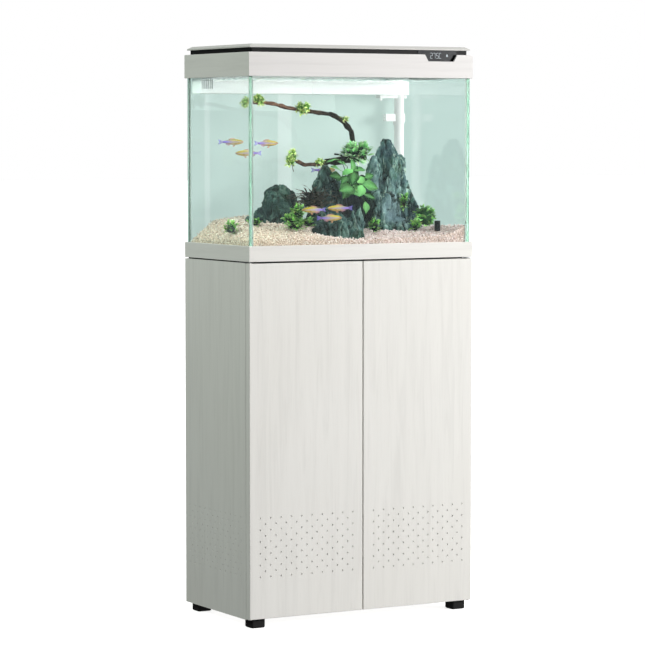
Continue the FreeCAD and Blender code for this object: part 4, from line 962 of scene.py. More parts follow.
def scatter_grains(rng, faces, count, low, high):
    """A mesh of many small rounded stones on the faces, kept between two corners."""
    areas = np.array([face.area for face in faces])
    picks = rng.choice(len(faces), count, p=areas / areas.sum())
    middles = np.array([faces[i].center for i in picks]) + rng.normal(0, GRAIN_SCATTER, (count, 3))
    radii = rng.uniform(*GRAIN_RADIUS, count)
    reach = radii[:, None] + WALL_GAP
    middles = np.clip(middles, np.array(low) + reach, np.array(high) - reach * [1, 1, 0])

    pebble = bmesh.new()
    bmesh.ops.create_icosphere(pebble, subdivisions=1, radius=1.0)
    shape = np.array([vert.co for vert in pebble.verts])
    corners = np.array([[vert.index for vert in face.verts] for face in pebble.faces])
    pebble.free()

    stretch = rng.uniform(0.6, 1.0, (count, 1, 3)) * rng.uniform(0.85, 1.1, (count, len(shape), 1))
    turns = np.array([Euler(rng.uniform(0, math.tau, 3)).to_matrix() for _ in range(count)])
    stones = np.einsum("nij,nvj->nvi", turns, shape[None] * stretch) * radii[:, None, None] + middles[:, None]
    triangles = corners[None] + (np.arange(count) * len(shape))[:, None, None]
    mesh = bpy.data.meshes.new("grains")
    mesh.from_pydata(stones.reshape(-1, 3).tolist(), [], triangles.reshape(-1, 3).tolist())
    mesh.shade_smooth()
    set_attribute(mesh, "grain_kind", np.repeat(rng.uniform(0, 1, count), len(shape)))
    return mesh


def stone(bm, rng, x, y, half_x, half_y, top, lean, blunt):
    """One upright stone: a leaning column of flat facets that narrows to its top."""
    facets = []
    for i in range(STONE_FACETS):
        turn = math.tau * (i + rng.uniform(-0.3, 0.3)) / STONE_FACETS
        facets.append((turn, rng.uniform(0.80, 1.0)))
    twist = rng.uniform(-0.5, 0.5)
    rings = []
    for level in range(STONE_RINGS):
        rise = level / (STONE_RINGS - 1)
        width = (1 - min(rise, 0.985) ** blunt) ** 0.62
        ring = []
        for corner in range(STONE_SIDES):
            angle = math.tau * corner / STONE_SIDES
            reach = min(far / max(math.cos(angle + twist * rise - turn), 0.25) for turn, far in facets)
            reach *= width * rng.uniform(0.93, 1.07)
            across = x + lean * rise * rise + half_x * reach * math.cos(angle)
            height = STONE_FOOT + (top - STONE_FOOT) * rise
            ring.append(bm.verts.new((across, y + half_y * reach * math.sin(angle), height)))
        rings.append(ring)
    join_rings(bm, rings)


def rock_depth(point):
    """How deep the flutes and cracks are cut at a point, from 0 to 1."""
    sway = noise.noise(point * 14) * 0.35
    flute = ridge(Vector((point.x * 62 + sway * 3, point.y * 62, point.z * 9 + sway)))
    cell = noise.voronoi(Vector((point.x * 60, point.y * 60, point.z * 24)))[0]
    crack = 1 - min(1.0, (cell[1] - cell[0]) * 5)
    return 0.55 * flute ** 3 + 0.45 * crack ** 2


def rocks():
    """Groups of upright stones grown into one another, then fluted and cracked."""
    rng = random.Random(3)
    bm = bmesh.new()
    for *lengths, blunt in STONES:
        stone(bm, rng, *(length / 1000 for length in lengths), blunt)
    mesh = even(mesh_from(bm, "stones"), ROCK_VOXEL)
    mesh.name = "creviced_rocks"
    low = Vector((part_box("left_glass")[1].x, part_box("front_glass")[1].y, 0.0))
    high = Vector((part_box("right_glass")[0].x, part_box("back_glass")[0].y, WATER_LEVEL))
    gap = Vector((ROCK_GAP, ROCK_GAP, 0.0))

    def height(point):
        swell = noise.fractal(point * 24, 0.9, 2.1, 4) * ROCK_SWELL
        rough = noise.fractal(point * 190, 0.8, 2.0, 3) * ROCK_ROUGH
        return swell + rough - rock_depth(point) * ROCK_CRACK + ROCK_GROWTH

    push_out(mesh, height, low + gap, high - gap)
    # How deep each point is cut, which the slate darkens as painted shade
    set_attribute(mesh, "crevice_shade", [rock_depth(vertex.co) for vertex in mesh.vertices])
    # A share for the painted shade of the hollow, and one for the pale slab
    for name, (middle, half) in (("painted_shade", PAINTED_SHADE_STONES), ("slab", PALE_SLAB)):
        away = [share_of(vertex.co, middle, half).length for vertex in mesh.vertices]
        set_attribute(mesh, name, [1 - min(1.0, far) ** 3 for far in away])
    add_piece("creviced_rocks", mesh, (slate(),), ("rocks",))


def driftwood():
    """Knotted, split wood over the CAD branches."""
    mesh = remeshed("driftwood", "driftwood_bark", WOOD_VOXEL)

    def height(point):
        knots = noise.fractal(point * 60, 0.9, 2.0, 3) * WOOD_KNOTS
        splits = ridge(Vector((point.x * 40, point.y * 240, point.z * 90))) ** 3 * WOOD_SPLITS
        return knots - splits + WOOD_GROWTH

    push_out(mesh, height)
    finish = bark()
    add_piece("driftwood_bark", mesh, (finish,), ("driftwood",))
    twigs = Foliage(19)
    for radius, points in TWIGS:
        twigs.stem([Vector(point) / 1000 for point in points], radius / 1000)
    twigs.piece("driftwood_twigs", finish, slot="driftwood")


# ---------------------------------------------------------------- plants


class Foliage:
    """A mesh of many leaves, each with its own shade."""

    def __init__(self, seed):
        self.rng = random.Random(seed)
        self.bm = bmesh.new()
        self.tip = self.bm.verts.layers.float.new("leaf_tip")
        self.shade = self.bm.verts.layers.float.new("leaf_shade")
        self.side = self.bm.verts.layers.float.new("leaf_side")

    def vert(self, place, tip, shade, side=1.0):
        """A point with its three leaf attributes."""
        made = self.bm.verts.new(place)
        made[self.tip] = tip
        made[self.shade] = shade
        made[self.side] = side
        return made

    def blade(
        self, base, heading, length, width, bend=0.3, fold=0.15, ruffle=0.0, waist=0.45, steps=5, face=None
    ):
        """One leaf: widest at waist, folded along its midrib, bent down towards its tip."""
        shade = self.rng.random()
        heading = heading.normalized()
        across = heading.cross(face or Vector((0, 0, 1)))
        if across.length < 0.05:
            across = Vector((1, 0, 0))
        across = Matrix.Rotation(self.rng.uniform(-0.5, 0.5), 3, heading) @ across.normalized()
        above = across.cross(heading).normalized()
        wave = self.rng.uniform(0, math.tau)
        rows = []
        for step in range(steps + 1):
            share = step / steps
            ahead = heading * length * share * (1 - 0.3 * bend * share)
            spine = base + ahead - above * length * bend * share * share
            reach = share / waist if share < waist else (1 - share) / (1 - waist)
            half = width / 2 * max(math.sin(reach * math.pi / 2), 0.04)
            lift = above * (fold * half + ruffle * math.sin(wave + share * 14))
            drop = above * (fold * half - ruffle * math.sin(wave + share * 14))
            left = self.vert(spine - across * half + lift, share, shade)
            midrib = self.vert(spine, share, shade, side=0.0)
            right = self.vert(spine + across * half + drop, share, shade)
            rows.append((left, midrib, right))
        for near, far in zip(rows, rows[1:]):
            self.bm.faces.new((near[0], near[1], far[1], far[0]))
            self.bm.faces.new((near[1], near[2], far[2], far[1]))

    def stem(self, points, radius):
        """A thin stalk through the points."""
        shade = self.rng.random() * 0.5
        rings = []
        for index, point in enumerate(points):
            along = (points[min(index + 1, len(points) - 1)] - points[max(index - 1, 0)]).normalized()
            side = along.orthogonal().normalized() * radius
            over = along.cross(side)
            ring = []
            for corner in range(STEM_SIDES):
                angle = math.tau * corner / STEM_SIDES
                ring.append(self.vert(point + side * math.cos(angle) + over * math.sin(angle), 0.0, shade))
            rings.append(ring)
        join_rings(self.bm, rings)

    def core(self, middle, half):
        """A dark, uneven blob in the heart of a clump: painted shade between the leaves."""
        made = bmesh.ops.create_icosphere(self.bm, subdivisions=3, radius=SHADE_CORE_SHARE)
        for vert in made["verts"]:
            bump = 1 + 0.35 * noise.noise(vert.co * 4 + Vector(middle) * 90)
            vert.co = Vector(middle) + Vector(a * b for a, b in zip(vert.co * bump, half))
            vert[self.shade] = 0.0
            vert[self.tip] = 0.0
            vert[self.side] = 1.0

    def outward(self, lift):
        """A random heading; lift from -1 to 1 tilts it down or up."""
        angle = self.rng.uniform(0, math.tau)
        return Vector((math.cos(angle), math.sin(angle) * 0.8, lift)).normalized()

    def piece(self, name, finish, replaced=(), slot="leaf_green"):
        """Adds all that has been drawn so far as one piece."""
        return add_piece(name, mesh_from(self.bm, name), (finish,), replaced)


def inside(rng, middle, half, reach):
    """A random place in the inner part of an ellipsoid, as far out as reach says."""
    while True:
        share = Vector((rng.uniform(-1, 1), rng.uniform(-1, 1), rng.uniform(-1, 1)))
        if share.length <= 1:
            return Vector(middle) + Vector(a * b for a, b in zip(share, half)) * reach


def clump(foliage, middle, half, count, length, share, lift, reach):
    """Leaves that stand outward from a rounded clump; share is a leaf's width over its length."""
    rng = foliage.rng
    foliage.core(middle, half)
    for _ in range(count):
        base = inside(rng, middle, half, reach)
        out = share_of(base, middle, half)
        heading = out + foliage.outward(rng.uniform(-0.3, 0.9)) * 0.6 + Vector((0, 0, lift))
        size = length * rng.uniform(0.7, 1.25)
        foliage.blade(base, heading, size, size * share, bend=rng.uniform(0.0, 0.6), steps=4)


def moss():
    """Bright small-leaved moss tied to the branches, each tuft of a few uneven lobes."""
    foliage = Foliage(11)
    rng = foliage.rng
    for middle, half in MOSS.values():
        count = int(MOSS_LEAVES * half[0] * half[2] / MOSS_LOBES)
        heart = [size * MOSS_HEART for size in half]
        clump(foliage, middle, heart, count, MOSS_LENGTH, MOSS_WIDTH, lift=0.1, reach=0.8)
        for lobe in range(MOSS_LOBES):
            angle = math.tau * (lobe + rng.uniform(-0.3, 0.3)) / MOSS_LOBES
            away = rng.uniform(0.42, 0.72)
            place = (
                middle[0] + half[0] * away * math.cos(angle),
                middle[1] + half[1] * rng.uniform(-0.7, 0.3),
                middle[2] + half[2] * away * math.sin(angle),
            )
            lobe_half = [size * rng.uniform(0.34, 0.48) for size in half]
            clump(foliage, place, lobe_half, count, MOSS_LENGTH, MOSS_WIDTH, lift=0.1, reach=0.9)
    # The pale tip colour is partly the moss's young growth and partly painted highlight
    finish = leaf("moss_green", rgb(70, 120, 22), rgb(222, 255, 134), rgb(255, 255, 200))
    foliage.piece("moss_tufts", finish, ("water_plants",))


def grass_tufts():
    """Low tufts of rounded leaves on the gravel and the rocks."""
    foliage = Foliage(23)
    for middle, half in TUFTS.values():
        count = int(TUFT_LEAVES * half[0] * half[2])
        clump(foliage, middle, half, count, TUFT_LENGTH, TUFT_WIDTH, lift=0.5, reach=0.86)
    foliage.piece("leaf_tufts", leaf("tuft_green", rgb(2, 18, 5), rgb(104, 190, 64), rgb(200, 248, 150)))


def broad_leaf_plant():
    """Broad round leaves on stalks from one root, their faces turned up and forward."""
    foliage = Foliage(31)
    rng = foliage.rng
    root = Vector(BROAD_ROOT) / 1000
    for x, y, z, length, width, heading, face in BROAD_LEAVES:
        angle, rise = math.radians(heading), math.radians(face)
        along = Vector((math.cos(angle), -0.25, math.sin(angle))).normalized()
        base = Vector((x, y, z)) / 1000 - along * length / 2000
        knee = root.lerp(base, 0.6) + Vector((0, 0, 0.007))
        foliage.stem([root, root.lerp(knee, 0.5), knee, base], 0.0008)
        foliage.blade(
            base,
            along,
            length / 1000 * BROAD_SCALE,
            width / 1000 * BROAD_SCALE,
            bend=rng.uniform(0.02, 0.22),
            fold=0.2,
            ruffle=0.0007,
            waist=0.42,
            steps=14,
            face=Vector((0, -math.cos(rise), math.sin(rise))),
        )
    foliage.piece("broad_leaf_plant", leaf("broad_green", rgb(1, 9, 4), rgb(124, 194, 112), rgb(24, 74, 34)))


def leaf_crown():
    """A crown of many small leaves round the foot of the upper branch."""
    foliage = Foliage(43)
    middle, half = CROWN
    clump(foliage, middle, half, CROWN_LEAVES, CROWN_LENGTH, CROWN_WIDTH, lift=0.5, reach=0.85)
    root = Vector((middle[0], middle[1], middle[2] - half[2]))
    for _ in range(CROWN_STEMS):
        top = inside(foliage.rng, middle, half, 0.8)
        foliage.stem([root, root.lerp(top, 0.5) + Vector((0, 0, 0.004)), top], 0.0006)
    # The near-white tip colour also paints highlights on the crown's leaves
    foliage.piece("leaf_crown", leaf("crown_green", rgb(4, 28, 14), rgb(146, 232, 136), rgb(236, 255, 218)))


def red_curls():
    """A dark curly plant: narrow ruffled red-brown leaves that arch back."""
    foliage = Foliage(57)
    rng = foliage.rng
    middle, half = RED_CURLS
    root = Vector((middle[0], middle[1], middle[2] - half[2]))
    for _ in range(CURL_LEAVES):
        foot = root + Vector((rng.gauss(0, 0.45) * half[0], rng.gauss(0, 0.004), rng.uniform(0, half[2])))
        heading = foliage.outward(0.0) * rng.uniform(0.3, 1.0) + Vector((0, 0, 1))
        length = half[2] * rng.uniform(0.8, 1.5)
        width = rng.uniform(0.0034, 0.0066)
        foliage.blade(foot, heading, length, width, bend=rng.uniform(0.4, 1.1), ruffle=0.0009, steps=12)
    # The pale tip colour paints highlights on the near-black curls
    foliage.piece("red_curls", leaf("curl_red", rgb(4, 3, 3), rgb(12, 8, 8), rgb(104, 86, 72)))


def corner_bush():
    """A rounded bush of small leaves in the front corner."""
    foliage = Foliage(71)
    middle, half = BUSH
    clump(foliage, middle, half, BUSH_LEAVES, BUSH_LENGTH, BUSH_WIDTH, lift=0.3, reach=0.74)
    foliage.piece("corner_bush", leaf("bush_green", rgb(14, 60, 22), rgb(128, 216, 98), rgb(222, 255, 180)))


# ---------------------------------------------------------------- fish


def fish_body(bm, layers):
    """The body as rings round its length, nose at x = 0 and tail towards +x."""
    along, height = layers
    rings = []
    for share, half_height, half_width in FISH_PROFILE:
        ring = []
        for i in range(FISH_SIDES):
            angle = math.tau * i / FISH_SIDES
            place = (share * FISH_LENGTH, half_width * math.cos(angle), half_height * math.sin(angle))
            vert = bm.verts.new(place)
            vert[along] = share
            vert[height] = 0.5 + 0.5 * math.sin(angle)
            ring.append(vert)
        rings.append(ring)
    join_rings(bm, rings)


def fish_fin_sheet(bm, layers, foot, edge, spread):
    """A fin between points on the body and points at its edge, both (share of the length, height)."""
    along, height = layers
    rows = []
    for level in range(FIN_ROWS):
        rise = level / (FIN_ROWS - 1)
        row = []
        for (foot_share, foot_z), (edge_share, edge_z) in zip(foot, edge):
            share = foot_share + (edge_share - foot_share) * rise
            place = (share * FISH_LENGTH, spread * rise, foot_z + (edge_z - foot_z) * rise)
            vert = bm.verts.new(place)
            vert[along] = share
            vert[height] = 0.5
            row.append(vert)
        rows.append(row)
    for near, far in zip(rows, rows[1:]):
        for i in range(len(near) - 1):
            bm.faces.new((near[i], near[i + 1], far[i + 1], far[i])).material_index = 1


def fish_fins(bm, layers):
    """The back, belly and tail fins, and the two pairs at the sides."""
    for foot, edge, spread in SINGLE_FINS:
        fish_fin_sheet(bm, layers, foot, edge, spread)
    for side in (-1, 1):
        for foot, edge, spread in PAIRED_FINS:
            fish_fin_sheet(bm, layers, foot, edge, side * spread)


def fish_eyes(bm):
    """A gold ball with a dark pupil standing out of it, on each side."""
    for side in (-1, 1):
        for radius, proud, index in EYE_BALLS:
            middle = Matrix.Translation((EYE_SHARE * FISH_LENGTH, side * (EYE_SIDE + proud), EYE_HEIGHT))
            made = bmesh.ops.create_uvsphere(bm, u_segments=12, v_segments=8, radius=radius, matrix=middle)
            for face in {face for vert in made["verts"] for face in vert.link_faces}:
                face.material_index = index


def fish_school():
    """The fish, each with its own bend."""
    finishes = (
        fish_skin(),
        fish_fin(),
        moulded_plastic("eye_ring", rgb(196, 150, 60), rgb(226, 190, 96), (0.1, 0.2)),
        moulded_plastic("eye_pupil", rgb(8, 8, 10), rgb(16, 16, 18), (0.04, 0.1)),
    )
    for index, (middle, heading, bend) in enumerate(FISH):
        bm = bmesh.new()
        layers = (bm.verts.layers.float.new("fish_along"), bm.verts.layers.float.new("fish_height"))
        fish_body(bm, layers)
        fish_fins(bm, layers)
        fish_eyes(bm)
        for vert in bm.verts:
            share = vert.co.x / FISH_LENGTH
            sway = bend * (share - 0.3) ** 2 * 3
            x = middle[0] + heading * (FISH_LENGTH / 2 - vert.co.x)
            vert.co = Vector((x, middle[1] + vert.co.y + sway, middle[2] + vert.co.z))
        bmesh.ops.recalc_face_normals(bm, faces=bm.faces)
        name = f"fish_{index + 1}"
        add_piece(name, mesh_from(bm, name), finishes, ("fish_school",))


# ---------------------------------------------------------------- hood


def plate(bm, outline, front, back):
    """A thin plate with an outline of (x, z) points, between two values of y."""
    near = [bm.verts.new((x, front, z)) for x, z in outline]
    far = [bm.verts.new((x, back, z)) for x, z in outline]
    bm.faces.new(near)
    bm.faces.new(reversed(far))
    for i in range(len(outline)):
        j = (i + 1) % len(outline)
        bm.faces.new((near[j], near[i], far[i], far[j]))


def segment_outline(x0, z0, x1, z1):
    """A lit bar between two points, upright or level, with pointed ends."""
    half = SEGMENT / 2
    if abs(x1 - x0) > abs(z1 - z0):
        return [
            (x0, z0), (x0 + half, z0 - half), (x1 - half, z0 - half),
            (x1, z0), (x1 - half, z0 + half), (x0 + half, z0 + half),
        ]
    return [
        (x0, z0), (x0 + half, z0 + half), (x0 + half, z1 - half),
        (x0, z1), (x0 - half, z1 - half), (x0 - half, z0 + half),
    ]


def digit_bars(shape, left):
    """The two ends of each bar of one character."""
    right = left + DIGIT_WIDTH
    low = DIGIT_BOTTOM
    high = low + DIGIT_HEIGHT
    middle = (low + high) / 2
    bars = {
        "a": (left, high, right, high),
        "b": (right, middle, right, high),
        "c": (right, low, right, middle),
        "d": (left, low, right, low),
        "e": (left, low, left, middle),
        "f": (left, middle, left, high),
        "g": (left, middle, right, middle),
    }
    return [bars[name] for name in shape]


def drop_outline():
    """A drop: a circle drawn up to a point."""
    outline = []
    for i in range(DROP_SIDES):
        angle = math.tau * i / DROP_SIDES
        stretch = 1 + 0.9 * max(0.0, math.cos(angle)) ** 6
        x = DROP_MIDDLE[0] + DROP_RADIUS * math.sin(angle)
        outline.append((x, DROP_MIDDLE[1] + DROP_RADIUS * math.cos(angle) * stretch))
    return outline


def display():
    """The lit temperature and the drop beside it, on the face of the dark window."""
    outlines = []
    left = DIGIT_LEFT
    for shape in CHARACTERS:
        if shape == "point":
            x = left - DIGIT_STEP + DIGIT_WIDTH + POINT_STEP / 2
            top = DIGIT_BOTTOM + SEGMENT
            outlines.append([(x, DIGIT_BOTTOM), (x + SEGMENT, DIGIT_BOTTOM), (x + SEGMENT, top), (x, top)])
            left += POINT_STEP / 2
        else:
            outlines += [segment_outline(*bar) for bar in digit_bars(shape, left)]
            left += DIGIT_STEP
    outlines.append(drop_outline())
    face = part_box("display_window")[0].y
    bm = bmesh.new()
    for outline in outlines:
        plate(bm, outline, face - LIT_PROUD, face)
    bmesh.ops.recalc_face_normals(bm, faces=bm.faces)
    mesh = mesh_from(bm, "display_digits", smooth=False)
    add_piece("display_digits", mesh, (lit_display(),))


def filter_foam():
    """The sponge again, with the ragged face of cut foam."""
    mesh = remeshed("filter_sponge", "filter_foam", SPONGE_VOXEL)
    push_out(mesh, lambda point: (noise.fractal(point * 210, 0.8, 2.0, 3) - 1) * SPONGE_ROUGH)
    finish = foam("open_foam", rgb(12, 15, 19), rgb(38, 46, 54), rgb(86, 76, 58))
    piece = add_piece("filter_foam", mesh, (finish,), ("filter_sponge",))


def mat_outline():
    """Points at even steps round the top of the levelling mat, anticlockwise."""
    bm = bmesh.new()
    bm.from_mesh(frame["nodes"]["levelling_mat"].data)
    bmesh.ops.remove_doubles(bm, verts=bm.verts, dist=WALL_GAP / 10)
    bmesh.ops.dissolve_limit(bm, angle_limit=math.radians(1), verts=bm.verts, edges=bm.edges)
    top = max((face for face in bm.faces if face.normal.z > 0.9), key=lambda face: face.calc_area())
    corners = [vert.co.copy() for vert in top.verts]
    bm.free()
    outline = []
    for start, end in zip(corners, corners[1:] + corners[:1]):
        steps = max(1, round((end - start).length / MAT_STEP))
        outline += [start.lerp(end, step / steps) for step in range(steps)]
    return outline


def levelling_mat():
    """The mat again: thin foam whose edge is rounded and a little uneven, as pressed foam is."""
    outline = mat_outline()
    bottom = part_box("levelling_mat")[0].z
    bm = bmesh.new()
    rings = []
    for rise, inset in MAT_RINGS:
        ring = []
        for index, point in enumerate(outline):
            along = outline[(index + 1) % len(outline)] - outline[index - 1]
            inward = Vector((-along.y, along.x, 0)).normalized()
            wave = noise.noise(Vector((point.x * 120, point.y * 120, rise * 400)))
            place = point + inward * (inset + MAT_UNEVEN * (1 + wave))
            ring.append(bm.verts.new((place.x, place.y, bottom + rise)))
        rings.append(ring)
    join_rings(bm, rings)
    finish = foam("mat_foam", rgb(10, 10, 11), rgb(28, 28, 30), rgb(48, 47, 46))
    mesh = mesh_from(bm, "levelling_foam")
    piece = add_piece("levelling_foam", mesh, (finish,), ("levelling_mat",))


def vent_holes(columns, pitch):
    """The places of a field's holes: across from its middle, and height. Every second row is one shorter."""
    for row in range(HOLE_ROWS):
        holes = columns - row % 2
        for hole in range(holes):
            yield (hole - (holes - 1) / 2) * pitch, LOWEST_HOLES + row * HOLE_ROW_STEP


def screens(name, finish, places, axis, body="root"):
    """One small disc at each place, turned round an axis from level to upright."""
    turned = Matrix.Rotation(math.radians(90), 4, axis)
    bm = bmesh.new()
    for place in places:
        matrix = Matrix.Translation(place) @ turned
        bmesh.ops.create_circle(bm, cap_ends=True, segments=16, radius=HOLE_RADIUS, matrix=matrix)
    add_piece(name, mesh_from(bm, "screens"), (finish,), body=body)


def vent_screens():
    """Pale dust mesh a little inside each ventilation hole of the doors and sides."""
    finish = dust_mesh()
    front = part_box("left_door")[0].y + SCREEN_DEPTH
    for body, middle in (("left_door", -DOOR_MIDDLE), ("right_door", DOOR_MIDDLE)):
        places = [(middle + across, front, height) for across, height in vent_holes(*DOOR_HOLES)]
        screens(f"{body}_screens", finish, places, "X", body)
    low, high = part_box("cabinet_left_side")
    x = abs(low.x) - SIDE_SCREEN_DEPTH
    middle = (low.y + high.y) / 2
    holes = list(vent_holes(*SIDE_HOLES))
    places = [(side * x, middle + across, height) for side in (-1, 1) for across, height in holes]
    screens("side_screens", finish, places, "Y")


# ---------------------------------------------------------------- finishes of the CAD nodes


def dress(finish, *nodes):
    """Puts a finish on CAD nodes that stay in view."""
    for node in nodes:
        mesh_object = frame["nodes"][node]
        for material_slot in mesh_object.material_slots:
            material_slot.link = "OBJECT"
            material_slot.material = finish


def riser_collar(finish):
    """The slanted collar that holds the side outlet on the riser."""
    bm = bmesh.new()
    rings = []
    low, high = (COLLAR_LOW, COLLAR_SLANT), (COLLAR_HIGH, 0.0)
    section = ((COLLAR_BORE, low), (COLLAR_RADIUS, low), (COLLAR_RADIUS, high), (COLLAR_BORE, high))
    for radius, (middle, slant) in section:
        ring = []
        for corner in range(COLLAR_SIDES):
            angle = math.tau * corner / COLLAR_SIDES
            x = RISER_MIDDLE[0] + radius * math.cos(angle)
            y = RISER_MIDDLE[1] + radius * math.sin(angle)
            ring.append(bm.verts.new((x, y, middle + slant * math.cos(angle))))
        rings.append(ring)
    join_rings(bm, rings + rings[:1], capped=False)
    bmesh.ops.recalc_face_normals(bm, faces=bm.faces)
    bmesh.ops.bevel(bm, geom=bm.edges[:], offset=COLLAR_BEVEL, segments=1, affect="EDGES", clamp_overlap=True)
    add_piece("riser_collar", mesh_from(bm, "riser_collar", smooth=False), (finish,))


def dress_frame():
    """Gives each CAD node that stays in view its finish."""
    upright = laminate("laminate_upright", "z")
    dress(upright, "left_door", "right_door", "cabinet_left_side", "cabinet_right_side")
    # The hood's copy of the laminate is a darker white: painted shade
    dress(laminate("laminate_hood", "x", (226, 224, 223)), "hood_front_panel", "hood_rear_panel")
    dress(laminate("laminate_level", "x"), "base_long_rails")
    dress(laminate("laminate_level_sides", "y"), "base_short_rails")
    # The hood sides' and the lid's copies are darker still: painted shade
    dress(laminate("laminate_hood_sides", "y", (220, 219, 215)), "hood_side_panels")
    dress(laminate("laminate_lid", "x", (206, 205, 202)), "top_lid")
    dress(inner_laminate(), "cabinet_top", "cabinet_bottom", "cabinet_back", "cabinet_shelf")
    dress(rubber(), "cabinet_feet", "cable_grommet")
    dress(silicone(), "silicone_seams", "suction_cups")
    dress(aqua_film(), "background_film")
    dress(smoked_window(), "display_window")
    dress(lamp_opal(), "lamp_diffuser")
    dress_metal()
    dress_plastic()
    dress(fired_clay("clay_rings", rgb(178, 158, 132), rgb(216, 202, 180)), "ceramic_rings")
    dress(fired_clay("ceramic_shaft", rgb(232, 230, 222), rgb(244, 243, 238)), "pump_shaft")


def dress_metal():
    """Fittings and the lamp's housing."""
    zinc = brushed_metal("zinc_plate", rgb(150, 152, 158), rgb(186, 188, 192), "z")
    dress(zinc, "cam_bolts", "cam_discs", "shelf_pins", "fixing_screws")
    dress(zinc, "pivot_arms", "pivot_pins", "lid_hinge_pins")
    dress(brushed_metal("anodised", rgb(176, 178, 182), rgb(204, 206, 208), "x"), "lamp_housing")


def dress_plastic():
    """Bushes, latches, hinges and everything moulded round the filter and lamp."""
    nylon = moulded_plastic("nylon", rgb(222, 220, 212), rgb(236, 234, 228), (0.35, 0.5))
    dress(nylon, "left_door_bushes", "right_door_bushes")
    grey = moulded_plastic("grey_plastic", rgb(84, 85, 88), rgb(98, 99, 102), (0.4, 0.55))
    dress(grey, "latch_housings", "left_latch_plunger", "right_latch_plunger")
    dress(moulded_plastic("magnet_coat", rgb(22, 22, 24), rgb(40, 40, 43), (0.2, 0.35)), "pump_impeller")
    board = moulded_plastic("diode_board", rgb(206, 212, 200), rgb(228, 232, 224), (0.3, 0.5), 180.0)
    dress(board, "lamp_strip")
    matt = (0.42, 0.58)
    black = moulded_plastic("black_plastic", rgb(16, 17, 19), rgb(25, 26, 28), matt, Specular_IOR_Level=0.15)
    dress(black, "hood_inner_frame", "lid_hinge_brackets", "lid_hinge_leaves", "power_inlet")
    wet = {"Specular_IOR_Level": UNDER_WATER}
    dress(moulded_plastic("probe_plastic", rgb(8, 9, 12), rgb(16, 17, 21), matt, **wet), "temperature_probe")
    glossy = {"rough": (0.2, 0.34), "grain": 300.0, "depth": 0.00002}
    dress(moulded_plastic("white_plastic", rgb(248, 249, 249), rgb(253, 253, 253), **glossy), "filter_trough")
    # A darker copy of the trough's white plastic, as painted shade against the key light, with a painted glow
    # that lightens its shaded side
    pipe = moulded_plastic(
        "pipe_plastic_painted_light",
        rgb(222, 221, 221),
        rgb(229, 228, 228),
        **glossy,
        **wet,
        Subsurface_Weight=0.8,
        Subsurface_Scale=0.02,
        Subsurface_Radius=(1.0, 1.0, 1.0),
        Emission_Color=rgb(240, 248, 244),
        Emission_Strength=PIPE_PAINTED_GLOW,
    )
    dress(pipe, "riser_pipe", "water_outlets", "pump_housing", "pump_cover")
    riser_collar(pipe)


# ---------------------------------------------------------------- studio


def floor():
    """A plain pale floor. Only the camera sees it: the world alone lights the object from below."""
    bm = bmesh.new()
    bmesh.ops.create_grid(bm, x_segments=1, y_segments=1, size=FLOOR_REACH)
    ground = bpy.data.objects.new("floor", mesh_from(bm, "floor"))
    ground.data.materials.append(studio_floor())
    ground.visible_diffuse = False
    ground.visible_glossy = False
    ground.visible_transmission = False
    bpy.context.collection.objects.link(ground)


def place_light(name, light, place, direction):
    """Adds a lamp that shines from a direction and isn't seen itself."""
    lamp = bpy.data.objects.new(name, light)
    lamp.location = place
    lamp.rotation_euler = direction.to_track_quat("Z", "Y").to_euler()
    lamp.visible_camera = False
    lamp.visible_transmission = False
    bpy.context.collection.objects.link(lamp)


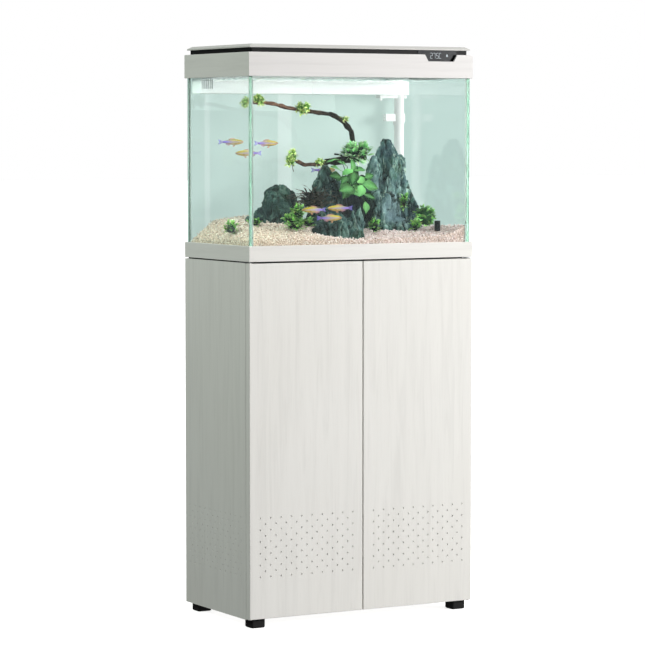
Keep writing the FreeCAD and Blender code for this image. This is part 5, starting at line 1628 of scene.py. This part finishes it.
def lights():
    """A soft sun from above, and soft boxes at the right, at the left and in the tank."""
    sun = bpy.data.lights.new("top_sun", "SUN")
    sun.energy = TOP_SUN
    sun.angle = math.radians(TOP_SUN_ANGLE)
    place_light("top_sun", sun, (0, 0, 5), Vector(TOP_SUN_SIDE))
    for name, place, aim, width, height, watts, colour in AREA_LIGHTS:
        light = bpy.data.lights.new(name, "AREA")
        light.shape = "RECTANGLE"
        light.size = width
        light.size_y = height
        light.energy = watts
        light.color = colour
        place_light(name, light, place, Vector(place) - Vector(aim))


def world():
    """A white world, dimmer as a light than as a background, and dimmest from the left."""
    made = bpy.data.worlds.new("studio_world")
    made.use_nodes = True
    nodes = Nodes(made.node_tree)
    ray = nodes.node("ShaderNodeLightPath").outputs
    side = nodes.along("X", nodes.node("ShaderNodeTexCoord").outputs["Generated"])
    strength = nodes.range(side, -0.7, 0.3, WORLD_SHADE_SIDE, WORLD_BRIGHT_SIDE)
    shown = (("Is Glossy Ray", WORLD_IN_GLOSS), ("Is Transmission Ray", 1.0), ("Is Camera Ray", 1.0))
    for kind, level in shown:
        strength = nodes.node("ShaderNodeMix", {0: ray[kind], 2: strength, 3: level}).outputs[0]
    tint = nodes.mix(ray["Is Transmission Ray"], (1.0, 1.0, 1.0, 1.0), TINT_BEHIND_GLASS)
    background = nodes.tree.nodes["Background"]
    nodes.put(background.inputs["Color"], tint)
    nodes.put(background.inputs["Strength"], strength)
    bpy.context.scene.world = made


def camera():
    """The camera fitted to the photo."""
    data = bpy.data.cameras.new("camera")
    data.lens = CAMERA_LENS
    data.clip_end = 200.0
    viewer = bpy.data.objects.new("camera", data)
    viewer.location = CAMERA_PLACE
    viewer.rotation_euler = (math.radians(90 - CAMERA_PITCH), 0.0, math.radians(-CAMERA_YAW))
    bpy.context.collection.objects.link(viewer)
    scene = bpy.context.scene
    scene.camera = viewer
    scene.view_settings.view_transform = "Standard"
    scene.cycles.transparent_max_bounces = 24
    scene.cycles.transmission_bounces = 20
    scene.cycles.max_bounces = 24


# ---------------------------------------------------------------- the whole scene

dress_frame()
glass_panes()
water_surface()
gravel()
rocks()
driftwood()
moss()
grass_tufts()
broad_leaf_plant()
leaf_crown()
red_curls()
corner_bush()
fish_school()
display()
filter_foam()
levelling_mat()
vent_screens()
floor()
lights()
world()
camera()
